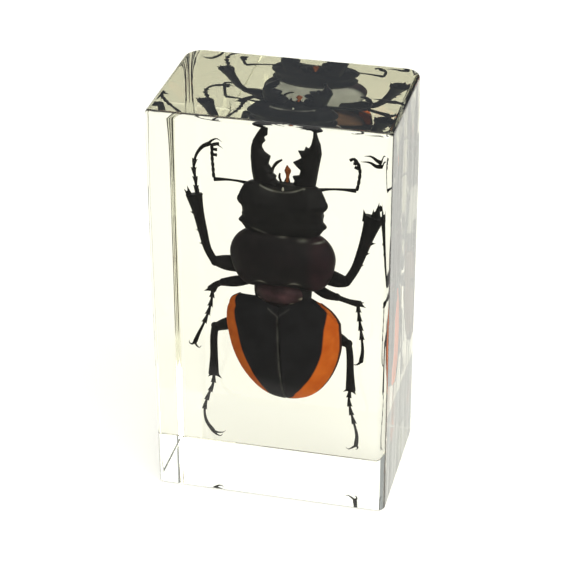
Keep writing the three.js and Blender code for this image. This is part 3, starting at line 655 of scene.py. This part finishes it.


# Painted reflection: the silvery sheen of an air film, laid on the pronotum's belly.
SILVER_REFLECTION = ((0.46, 0.46, 0.40), (0.70, 0.70, 0.62))
# Tones of the painted highlights.
GLINT = ((0.05, 0.05, 0.042), (0.26, 0.26, 0.22))
BLACK = chitin("black_chitin", (0.005, 0.0045, 0.0055), (0.010, 0.009, 0.010))
HEAD_SHELL = chitin(
    "head_shell", (0.005, 0.0045, 0.0055), (0.010, 0.009, 0.010), marks=[("glint", *GLINT)],
)
PRONOTUM_SHELL = chitin(
    "pronotum_shell", (0.006, 0.0042, 0.006), (0.012, 0.008, 0.010),
    marks=[("lit_right_side", (0.012, 0.004, 0.0075), (0.023, 0.008, 0.012)), ("belly", *SILVER_REFLECTION), ("glint", *GLINT)],
)
BROWN_BLACK = chitin("brown_black_chitin", (0.008, 0.005, 0.005), (0.016, 0.009, 0.008))
BROWN = chitin(
    "brown_membrane", (0.035, 0.016, 0.020), (0.110, 0.048, 0.060), roughness=0.35, grain=1200.0,
    marks=[
        ("dark", (0.006, 0.004, 0.005), (0.016, 0.009, 0.010)),
        # Painted highlights.
        ("glint", (0.20, 0.18, 0.13), (0.5, 0.45, 0.35)),
    ],
)
EYE_SHELL = chitin("eye_shell", (0.010, 0.008, 0.007), (0.022, 0.016, 0.013), 0.3, 3000.0)
TONGUE_HAIR = chitin("tongue_hair", (0.16, 0.035, 0.010), (0.50, 0.14, 0.03), 0.6, 3000.0)
PALE = chitin("pale_membrane", (0.40, 0.38, 0.30), (0.62, 0.60, 0.52), 0.4, 2500.0)
ABDOMEN_SHELL = chitin(
    "abdomen_shell", (0.012, 0.006, 0.005), (0.030, 0.013, 0.010),
    marks=[("belly", (0.11, 0.058, 0.036), (0.22, 0.125, 0.076))],
)
WING_CASE = chitin(
    "wing_case", (0.008, 0.0074, 0.0096), (0.014, 0.0134, 0.0166),
    roughness=0.62, bump=0.01, gloss_level=0.05,
    marks=[
        ("edge_band", (0.66, 0.120, 0.008), (0.78, 0.17, 0.014)),
        # Painted highlights along the suture and the scutellum's arms.
        ("suture_highlight", (0.03, 0.03, 0.027), (0.15, 0.15, 0.13)),
    ],
)
RESIN = resin_material()

# ---------------------------------------------------------------- the resin block


def block_rows():
    """Height, inset and upward lean of each ring of the block's skin, bottom first."""
    foot, top, height = BLOCK["foot_edge"], BLOCK["top_edge"], BLOCK["height"]
    leans = np.linspace(math.pi / 2, 0, BLOCK["edge_steps"] + 1)
    levels = np.linspace(BLOCK["rounder_from"], height - top, BLOCK["rounder_steps"])
    rows = [(foot * (1 - math.sin(a)), foot * (1 - math.cos(a)), -a) for a in leans]
    rows += [(level, 0.0, 0.0) for level in levels]
    rows += [(height - top * (1 - math.sin(a)), top * (1 - math.cos(a)), a) for a in leans[-2::-1]]
    return rows


def block_ring(height, inset, lean_angle):
    """The block's outline at one height: points and normals. The upright corners grow rounder to the top."""
    reach = BLOCK["height"] - BLOCK["rounder_from"]
    share = max(height - BLOCK["rounder_from"], 0.0) / reach
    points, normals = [], []
    for turn, (side_x, side_y, radius_below, radius_top) in enumerate(BLOCK_CORNERS):
        radius = radius_below + (radius_top - radius_below) * share**2
        growth = 2 * (radius_top - radius_below) * share / reach
        corner = np.array([side_x * BLOCK["width"], side_y * BLOCK["depth"]]) / 2
        angles = (turn + np.linspace(0, 1, BLOCK["corner_steps"] + 1)) * math.pi / 2
        out = np.stack([np.cos(angles), np.sin(angles)], axis=1)
        points.append(corner - radius * np.array([side_x, side_y]) + out * (radius - inset))
        drawn_in = growth * (out @ np.array([side_x, side_y]) - 1)
        up = math.sin(lean_angle) + math.cos(lean_angle) * drawn_in
        normal = np.column_stack([out * math.cos(lean_angle), up])
        normals.append(normal / np.linalg.norm(normal, axis=1, keepdims=True))
    points = np.concatenate(points)
    return np.column_stack([points, np.full(len(points), height)]), np.concatenate(normals)


def make_block():
    """The block's skin, with each point's true normal so that its faces stay flat."""
    rings = [block_ring(*row) for row in block_rows()]
    points = np.concatenate([ring[0] for ring in rings])
    faces = ring_faces(len(rings), len(rings[0][0]))
    piece = add_piece("resin_block", [(points, faces)], RESIN)
    piece.data.normals_split_custom_set_from_vertices(np.concatenate([ring[1] for ring in rings]).tolist())
    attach(piece, ROOT)
    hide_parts("resin_front", "resin_back")
    return piece


# ---------------------------------------------------------------- the body


def paint(piece, attribute, share):
    """Stores, per vertex, where a mark lies. share(x, y, z) takes millimetres."""
    mesh = piece.data
    co = np.empty(len(mesh.vertices) * 3)
    mesh.vertices.foreach_get("co", co)
    x, y, z = (co.reshape(-1, 3) / MM).T
    layer = mesh.attributes.new(attribute, "FLOAT", "POINT")
    layer.data.foreach_set("value", np.clip(share(x, y, z), 0, 1).astype(np.float32))


def spot(x, z, at, size):
    """A soft round mark at (x, z), with half sizes along x and z."""
    return np.exp(-(((x - at[0]) / size[0]) ** 2) - ((z - at[1]) / size[1]) ** 2)


def glints(piece, x, y, z):
    """How bright the piece's painted highlights are at each point."""
    shares = 0.0
    for share, at, size, slope, bow in GLINTS[piece]:
        along = x - at[0]
        shares = shares + share * spot(x, z - slope * along - bow * along**2, at, size)
    return shares * (y < GLINTS_END_AT_Y[piece])


def clypeus_edge(x):
    """The height of the head's hollow front edge."""
    dx = np.clip(np.abs(x - CLYPEUS["x"]), 0, CLYPEUS["radius"])
    return np.minimum(CLYPEUS["z"] - np.sqrt(CLYPEUS["radius"] ** 2 - dx**2), HEAD[-1][0])


def clypeus_highlight(x, y, z):
    """The painted highlight line along the hollow front edge."""
    line = np.exp(-(((z - clypeus_edge(x) + CLYPEUS_HIGHLIGHT["behind"]) / CLYPEUS_HIGHLIGHT["half"]) ** 2))
    off_middle = np.abs(x - CLYPEUS_HIGHLIGHT["x"]) / CLYPEUS_HIGHLIGHT["fade"]
    shares = line * np.clip(off_middle + CLYPEUS_HIGHLIGHT["least"], 0, 1)
    within = np.abs(x - CLYPEUS_HIGHLIGHT["reach_x"]) < CLYPEUS_HIGHLIGHT["reach"]
    return shares * within * (y < GLINTS_END_AT_Y["head"])


def make_head():
    """The head, with a dent and two ridges on its back and a hollow front edge."""

    def relief(points, angle):
        x, y, z = points[..., 0], points[..., 1], points[..., 2]
        front = HEAD[-1][0]
        share = np.clip((z - CLYPEUS["hollow_from"]) / (front - CLYPEUS["hollow_from"]), 0, 1)
        points[..., 2] = z - share * (front - clypeus_edge(x))
        on_back = np.cos(angle)[None, :] > 0.1
        dent = HEAD_DENT[0] * spot(x, z, *HEAD_DENT[1:])
        ridge = HEAD_RIDGES[0] * spot(np.abs(x), z, *HEAD_RIDGES[1:])
        points[..., 1] = y + np.where(on_back, dent - ridge, 0.0)
        return points

    head = add_piece("head", [body_shape(HEAD, BODY_SIDES, relief=relief)], HEAD_SHELL)
    # Painted highlights: a line along the hollow front edge and a mark near the hind edge.
    paint(head, "glint", lambda x, y, z: clypeus_highlight(x, y, z) + glints("head", x, y, z))
    return beetle_part(head)


def make_eyes():
    """Both eyes, a little flattened towards the head."""
    radii = (EYE["radius"] * EYE["flat"], EYE["radius"], EYE["radius"])
    shapes = [ball_shape((side * EYE["x"], EYE["y"], EYE["z"]), radii) for side in (-1, 1)]
    return beetle_part(add_piece("eyes", shapes, EYE_SHELL))


def make_pronotum():
    """The shield behind the head, with a fine groove along its back and a notch in its hind edge."""

    def relief(points, angle):
        x, y, z = points[..., 0], points[..., 1], points[..., 2]
        groove, notch = PRONOTUM_GROOVE, PRONOTUM_NOTCH
        on_back = np.cos(angle)[None, :] > 0.05
        ends = np.clip((z - groove["from"]) / groove["fade"], 0, 1)
        ends = ends * np.clip((groove["to"] - z) / groove["fade"], 0, 1)
        sunk = groove["depth"] * np.exp(-((x / groove["half"]) ** 2)) * ends
        raised = notch["depth"] * np.clip((notch["from"] - z) / notch["reach"], 0, 1)
        points[..., 1] = y + np.where(on_back, sunk, 0.0)
        points[..., 2] = z + raised * np.exp(-((x / notch["half"]) ** 4))
        return points

    # Painted light: the right side, where the light falls, is lighter and redder.
    def lit_right_side(x, y, z):
        return (x - PRONOTUM_LIT_SIDE["from_x"]) / PRONOTUM_LIT_SIDE["fade"] * (y < PRONOTUM_LIT_SIDE["to_y"])

    pronotum = add_piece("pronotum", [body_shape(PRONOTUM, BODY_SIDES, relief=relief)], PRONOTUM_SHELL)
    # Its belly gets a painted silvery reflection.
    paint(pronotum, "belly", lambda x, y, z: (y - PRONOTUM_SILVERING_FROM) / BELLY_FADE)
    paint(pronotum, "lit_right_side", lit_right_side)
    # Painted highlights near its front and hind edges.
    paint(pronotum, "glint", lambda x, y, z: glints("pronotum", x, y, z))
    return beetle_part(pronotum)


def make_mesothorax():
    """The waist: a black collar and, on its back, a brown barrel."""
    collar = add_piece("collar", [body_shape(COLLAR)], BLACK)
    points, faces = body_shape(MESOTHORAX)
    barrel = add_piece("mesothorax", [(points + (MESOTHORAX_X, 0, 0), faces)], BROWN)
    paint(barrel, "dark", lambda x, y, z: 1 - spot(x, z, *BARREL_BROWN))
    # Painted highlights on the barrel.
    paint(barrel, "glint", lambda x, y, z: glints("mesothorax", x, y, z))
    return beetle_part(collar), beetle_part(barrel)


def make_abdomen():
    """The hind body under the wing cases, ringed on its belly."""

    def relief(points, angle):
        y, z = points[..., 1], points[..., 2]
        on_belly = np.cos(angle)[None, :] < -0.05
        turns = (z - BELLY_RINGS["from"]) / BELLY_RINGS["length"]
        rings = BELLY_RINGS["depth"] * np.abs(np.sin(turns * math.pi)) ** BELLY_RINGS["sharpness"]
        points[..., 1] = y + np.where(on_belly, rings - BELLY_RINGS["depth"], 0.0)
        return points

    points, faces = body_shape(ABDOMEN, per_span=16, relief=relief)
    abdomen = add_piece("abdomen", [(lean(points), faces)], ABDOMEN_SHELL)
    paint(abdomen, "belly", lambda x, y, z: (y - ABDOMEN_BELLY_FROM) / BELLY_FADE)
    return beetle_part(abdomen)


def front_edge(side, x):
    """The height at which a wing case ends in front, at each distance from the suture."""
    front = FRONT_EDGE["middle"]
    front = front + FRONT_EDGE["rise"] * np.clip(np.abs(x) / FRONT_EDGE["half"], 0, 1) ** FRONT_EDGE["power"]
    if side == "left":
        return front
    cut = SHOULDER_CUT["slope"] * np.maximum(x - SHOULDER_CUT["from"], 0.0)
    cut = cut + SHOULDER_CUT["bend"] * np.maximum(x - SHOULDER_CUT["steeper_from"], 0.0) ** 2
    return np.minimum(front, SHOULDER_CUT["height"] - cut)


def band_share(side, level, half, x):
    """How orange a wing case is across one row: a soft inner edge and a fine dark line at the rim."""
    levels, widths = np.array(BANDS[side]).T
    width = np.interp(level, levels, widths, left=0.0, right=0.0)
    share = np.clip((x - (half - width)) / BAND["softness"] + 0.5, 0, 1) * (levels[0] < level < levels[-1])
    rim = np.clip((half - x - BAND["rim_line"]) / BAND["rim_fade"], BAND["rim_least"], 1)
    # The left band is dimmed as painted shade.
    return share * rim * BAND["lit_share"][side]


def suture_share(side, level, x):
    """Where the painted highlight lines lie: the groove's on the left wing case, the scutellum's on both."""
    arm = level - SUTURE["from"] - SCUTELLUM["slope"] * x
    arms = np.exp(-((arm / SCUTELLUM["line_half"]) ** 2)) * (x < SCUTELLUM["reach"])
    if side == "right":
        return SCUTELLUM["share"][side] * arms
    seam = np.exp(-((x / SUTURE["line_half"]) ** 2)) * (level < SUTURE["from"])
    return np.maximum(seam, SCUTELLUM["share"][side] * arms)


def make_elytron(side):
    """One wing case: a domed shell from the suture to the outer rim, closed by its underside."""
    towards = {"left": -1, "right": 1}[side]
    rows = smooth_rows(ELYTRA, 8)
    angle = np.linspace(0, 1, ELYTRON["points_across"]) * math.pi / 2
    out_x = np.sin(angle) ** BODY_ROUNDNESS
    out_y = np.cos(angle) ** BODY_ROUNDNESS
    widen, widen_from, widen_reach = SHOULDERS[side]
    points, band, line = [], [], []
    for level, half, back, rim, _ in rows:
        half *= 1 + widen * min(max((level - widen_from) / widen_reach, 0.0), 1.0)
        x = half * out_x
        groove = SUTURE["depth"] * (level < SUTURE["from"]) * np.exp(-((x / SUTURE["half"]) ** 2))
        top = rim - (rim - back) * out_y + groove
        thickness = ELYTRON["thickness"] * np.minimum(out_y * ELYTRON["full_thickness_by"], 1.0)
        under = top + thickness + ELYTRON["rim_thickness"]
        ring_x = np.concatenate([x, x[::-1] * ELYTRON["under_width"]])
        ring_y = np.concatenate([top, under[::-1]])
        bend = max(SUTURE["bend_from"] - level, 0.0) / (SUTURE["bend_from"] - ELYTRA[0][0])
        shift = -SUTURE["bend"] * bend * (1 - np.clip(ring_x / half, 0, 1))
        placed = towards * (ring_x + ELYTRON["gap"]) + shift
        points.append(np.stack([placed, ring_y, np.minimum(level, front_edge(side, ring_x))], axis=1))
        for values, share in ((band, band_share(side, level, half, x)), (line, suture_share(side, level, x))):
            values.append(np.concatenate([share, share[::-1]]))
    shape = (lean(np.array(points).reshape(-1, 3)), ring_faces(len(rows), 2 * ELYTRON["points_across"]))
    piece = add_piece(f"wing_case_{side}", [shape], WING_CASE)
    for attribute, values in (("edge_band", band), ("suture_highlight", line)):
        layer = piece.data.attributes.new(attribute, "FLOAT", "POINT")
        layer.data.foreach_set("value", np.array(values, dtype=np.float32).ravel())
    return beetle_part(piece)


def make_mandible(side, outline):
    """A toothed blade whose thickness rises from its sharp edge and falls off to the tip."""
    outline = np.array(outline)
    count = len(outline)
    front = [(x, -1.0, z) for x, z in outline]
    back = [(x, 1.0, z) for x, z in outline]
    sides = [(i, (i + 1) % count, count + (i + 1) % count, count + i) for i in range(count)]
    caps = [tuple(range(count)), tuple(reversed(range(count, 2 * count)))]
    piece = add_piece(f"mandible_{side}", [(front + back, sides + caps)], BLACK)
    triangulate(piece)
    fuse(piece, MANDIBLE["first_voxel"], 0)
    mesh = piece.data
    co = np.empty(len(mesh.vertices) * 3)
    mesh.vertices.foreach_get("co", co)
    co = co.reshape(-1, 3) / MM
    inset = distance_to(outline, co[:, [0, 2]])
    rise = np.sqrt(1 - (1 - np.clip(inset / MANDIBLE["edge"], 0, 1)) ** 2)
    share = np.clip((co[:, 2] - MANDIBLE["from"]) / (MANDIBLE["to"] - MANDIBLE["from"]), 0, 1)
    half = MANDIBLE["half"] + (MANDIBLE["tip_half"] - MANDIBLE["half"]) * share ** MANDIBLE["taper"]
    middle = MANDIBLE["y"] + MANDIBLE["bend"] * share**2
    co[:, 1] = middle + np.clip(co[:, 1], -1, 1) * (MANDIBLE["edge_half"] + half * rise)
    mesh.vertices.foreach_set("co", (co * MM).ravel())
    fuse(piece, MANDIBLE["voxel"])
    return beetle_part(piece)


def triangulate(piece):
    """Cuts the blade's two many-sided faces into triangles."""
    work = bmesh.new()
    work.from_mesh(piece.data)
    bmesh.ops.triangulate(work, faces=work.faces)
    work.to_mesh(piece.data)
    work.free()


def distance_to(outline, points):
    """Distance from each point to the closed outline."""
    best = np.full(len(points), 1e9)
    for i in range(len(outline)):
        a, b = outline[i], outline[(i + 1) % len(outline)]
        along = b - a
        t = np.clip(((points - a) @ along) / (along @ along), 0, 1)
        best = np.minimum(best, np.linalg.norm(points - (a + t[:, None] * along), axis=1))
    return best


def make_mouthparts():
    """The orange tongue, the palps beside it and a pale tuft at their root."""
    tongue = add_piece("tongue", [tube_shape(smooth_rows(TONGUE, 6), 20)], TONGUE_HAIR)
    tuft = add_piece("palp_tuft", [ball_shape(TUFT["place"], TUFT["radii"], 16)], PALE)
    palps = add_piece("palps", [tube_shape(smooth_rows(p, 6), 14) for p in PALPS], BROWN_BLACK)
    fuse(palps, PALP_VOXEL, 1)
    return beetle_part(tongue), beetle_part(palps), beetle_part(tuft)


def make_antenna(side, parts):
    """A long scape, a beaded funicle across its end and the three plates of the club."""
    shapes = [tube_shape(smooth_rows(parts["scape"], 8), 16)]
    funicle = resample(smooth_rows(parts["funicle"], 8), ANTENNA["stations"])
    beads = np.abs(np.sin(np.linspace(0, ANTENNA["beads"] * math.pi, len(funicle))))
    shapes.append(tube_shape(np.column_stack([funicle, ANTENNA["half"] + ANTENNA["swell"] * beads]), 16))
    for start, end in parts["plates"]:
        middle = (np.array(start) + end) / 2
        rows = [(*place, half) for place, half in zip((start, middle, end), ANTENNA["plate_halves"])]
        shapes.append(tube_shape(smooth_rows(rows, 4), 14, ANTENNA["plate_flatness"]))
    piece = add_piece(f"antenna_{side}", shapes, BLACK)
    fuse(piece, ANTENNA["voxel"])
    return beetle_part(piece)


def tarsus_shapes(points):
    """Four short segments that flare to two small spines, then a long one that carries the claws."""
    path = resample(smooth_rows(points, 10), TARSUS["ends"][-1] + 1)
    shapes = []
    for start, end in zip(TARSUS["ends"], TARSUS["ends"][1:]):
        last = end == TARSUS["ends"][-1]
        part = path[start : end + 1]
        t = np.linspace(0, 1, len(part))
        flare = (TARSUS["last"] if last else TARSUS["swell"]) - TARSUS["joint"]
        swell = t ** (TARSUS["last_power"] if last else TARSUS["power"])
        end_round = np.clip((TARSUS["round_to"] - t) / TARSUS["round_over"], TARSUS["round_least"], 1)
        half = TARSUS["joint"] + flare * swell * end_round
        shapes.append(tube_shape(np.column_stack([part, half]), 14))
        if last:
            continue
        along = (part[-1] - part[-4]) / np.linalg.norm(part[-1] - part[-4])
        across = np.cross((0.0, 1.0, 0.0), along)
        for side in (-1, 1):
            root = part[-2] + side * TARSUS["spine_root"] * across
            tip = root + side * TARSUS["spine_out"] * across + TARSUS["spine_ahead"] * along
            shapes.append(cone_shape(root, tip, TARSUS["spine_half"], 8))
    return shapes


def claw_shape(points, root):
    """A claw that narrows from its root to a fine tip."""
    path = resample(smooth_rows(points, 8), CLAW["stations"])
    t = np.linspace(0, 1, len(path))
    half = root + (CLAW["tip"] - root) * t ** CLAW["taper"]
    return tube_shape(np.column_stack([path, half]), 12)


def make_leg(place, parts):
    """One leg: femur, knee, spined tibia, five-segment tarsus and two claws."""
    shapes = [
        tube_shape(smooth_rows(parts["femur"], 8), 24, LEG["flatness"]),
        tube_shape(smooth_rows(parts["tibia"], 8), 24, LEG["flatness"]),
        ball_shape(parts["tibia"][0][:3], LEG["knee"], 16),
    ]
    shapes += [cone_shape(*spine) for spine in parts["spines"]]
    shapes += tarsus_shapes(parts["tarsus"])
    shapes += [claw_shape(points, parts.get("claw_root", CLAW["root"])) for points in parts["claws"]]
    piece = add_piece(f"leg_{place}", shapes, BLACK)
    fuse(piece, LEG["voxel"])
    return beetle_part(piece)


make_block()
make_head()
make_eyes()
make_pronotum()
make_mesothorax()
make_abdomen()
for side in BANDS:
    make_elytron(side)
for side, outline in MANDIBLES.items():
    make_mandible(side, outline)
make_mouthparts()
for side, parts in ANTENNAE.items():
    make_antenna(side, parts)
for place, parts in LEGS.items():
    make_leg(place, parts)

# ---------------------------------------------------------------- floor, light and camera


CAMERA = {
    "place": (107.2, -438.7, 310.9), "yaw": 13.69, "pitch": 29.74, "roll": -0.28,
    "lens": 123.4, "sensor": 36.0, "far": 20.0,
}
# The floor's measures are in metres. It is dim up to dim_at, pale from pale_from on, and blends between.
FLOOR = {"size": 6.0, "drop": 0.0003, "pale_from": -0.057, "dim_at": -0.073}
# Each socket's tone where the floor is dim and where it is pale.
FLOOR_TONES = {
    "Base Color": ((0.07, 0.07, 0.065), (0.46, 0.456, 0.42)),
    "Emission Color": ((0.10, 0.10, 0.09), (0.67, 0.665, 0.62)),
}


def make_floor():
    """A pale light table, square to the camera, that is dimmer in front of the picture's lower edge."""
    bpy.ops.mesh.primitive_plane_add(size=FLOOR["size"], location=(0, 0, -FLOOR["drop"]))
    floor = bpy.context.object
    floor.name = "floor"
    floor.rotation_euler.z = math.radians(CAMERA["yaw"])
    material, nodes, links, shader = new_material("floor")
    split = nodes.new("ShaderNodeSeparateXYZ")
    links.new(nodes.new("ShaderNodeTexCoord").outputs["Object"], split.inputs["Vector"])
    depth = nodes.new("ShaderNodeMapRange")
    depth.inputs["From Min"].default_value = FLOOR["dim_at"]
    depth.inputs["From Max"].default_value = FLOOR["pale_from"]
    links.new(split.outputs["Y"], depth.inputs["Value"])
    for socket, (dim, pale) in FLOOR_TONES.items():
        tone = ramp(nodes, links, depth.outputs["Result"], [(0.0, dim), (1.0, pale)])
        links.new(tone, shader.inputs[socket])
    shader.inputs["Emission Strength"].default_value = 1.0
    shader.inputs["Roughness"].default_value = 0.8
    shader.inputs["Specular IOR Level"].default_value = 0.0
    floor.data.materials.append(material)


SKY = [
    (0.0, (0.08, 0.085, 0.09)),
    (0.52, (0.20, 0.22, 0.24)),
    (0.74, (0.6, 0.62, 0.64)),
    (0.90, (1.0, 1.0, 1.0)),
]
SKY_STRENGTH = 1.15
KEY = {"towards": (0.68, -0.52, 0.53), "outer": 0.78, "inner": 0.93, "radiance": 5.0}


def make_world():
    """A dim room with a soft light overhead and a large one in front, to the right."""
    world = bpy.data.worlds.new("studio")
    bpy.context.scene.world = world
    world.use_nodes = True
    nodes, links = world.node_tree.nodes, world.node_tree.links
    where = nodes.new("ShaderNodeTexCoord").outputs["Generated"]
    split = nodes.new("ShaderNodeSeparateXYZ")
    links.new(where, split.inputs["Vector"])
    room = nodes["Background"]
    links.new(ramp(nodes, links, split.outputs["Z"], SKY), room.inputs["Color"])
    room.inputs["Strength"].default_value = SKY_STRENGTH
    facing = nodes.new("ShaderNodeVectorMath")
    facing.operation = "DOT_PRODUCT"
    links.new(where, facing.inputs[0])
    facing.inputs[1].default_value = Vector(KEY["towards"]).normalized()
    key_share = nodes.new("ShaderNodeMapRange")
    key_share.interpolation_type = "SMOOTHSTEP"
    key_share.inputs["From Min"].default_value = KEY["outer"]
    key_share.inputs["From Max"].default_value = KEY["inner"]
    key_share.inputs["To Max"].default_value = KEY["radiance"]
    links.new(facing.outputs["Value"], key_share.inputs["Value"])
    key = nodes.new("ShaderNodeBackground")
    links.new(key_share.outputs["Result"], key.inputs["Strength"])
    both = nodes.new("ShaderNodeAddShader")
    links.new(room.outputs["Background"], both.inputs[0])
    links.new(key.outputs["Background"], both.inputs[1])
    links.new(both.outputs["Shader"], nodes["World Output"].inputs["Surface"])


PANEL = {"place": (-35, 210, 140), "width": 150, "height": 84, "radiance": 1.05, "colour": (1.0, 1.0, 0.93)}


def make_panel():
    """A low softbox behind the block, above the picture, which the block's bottom mirrors."""
    data = bpy.data.lights.new("panel", "AREA")
    data.shape = "RECTANGLE"
    data.size, data.size_y = PANEL["width"] * MM, PANEL["height"] * MM
    data.color = PANEL["colour"]
    data.energy = PANEL["radiance"] * math.pi * data.size * data.size_y
    panel = bpy.data.objects.new("panel", data)
    bpy.context.collection.objects.link(panel)
    panel.location = Vector(PANEL["place"]) * MM
    panel.rotation_euler.x = -math.pi / 2


def make_camera():
    """A camera at the photograph's viewing angle."""
    yaw, pitch, roll = (math.radians(CAMERA[k]) for k in ("yaw", "pitch", "roll"))
    ahead = Vector((-math.sin(yaw) * math.cos(pitch), math.cos(yaw) * math.cos(pitch), -math.sin(pitch)))
    right = ahead.cross(Vector((0, 0, 1))).normalized()
    up = right.cross(ahead)
    rolled = math.cos(roll) * right + math.sin(roll) * up
    up = rolled.cross(ahead)
    data = bpy.data.cameras.new("camera")
    data.lens = CAMERA["lens"]
    data.sensor_width = CAMERA["sensor"]
    data.clip_end = CAMERA["far"]
    camera = bpy.data.objects.new("camera", data)
    bpy.context.collection.objects.link(camera)
    turn = Matrix((rolled, up, -ahead)).transposed().to_4x4()
    camera.matrix_world = Matrix.Translation(Vector(CAMERA["place"]) * MM) @ turn
    bpy.context.scene.camera = camera


make_floor()
make_world()
make_panel()
make_camera()
scene = bpy.context.scene
scene.view_settings.view_transform = "Standard"
scene.cycles.max_bounces = 32
scene.cycles.transmission_bounces = 32
scene.cycles.glossy_bounces = 16
scene.cycles.diffuse_bounces = 4
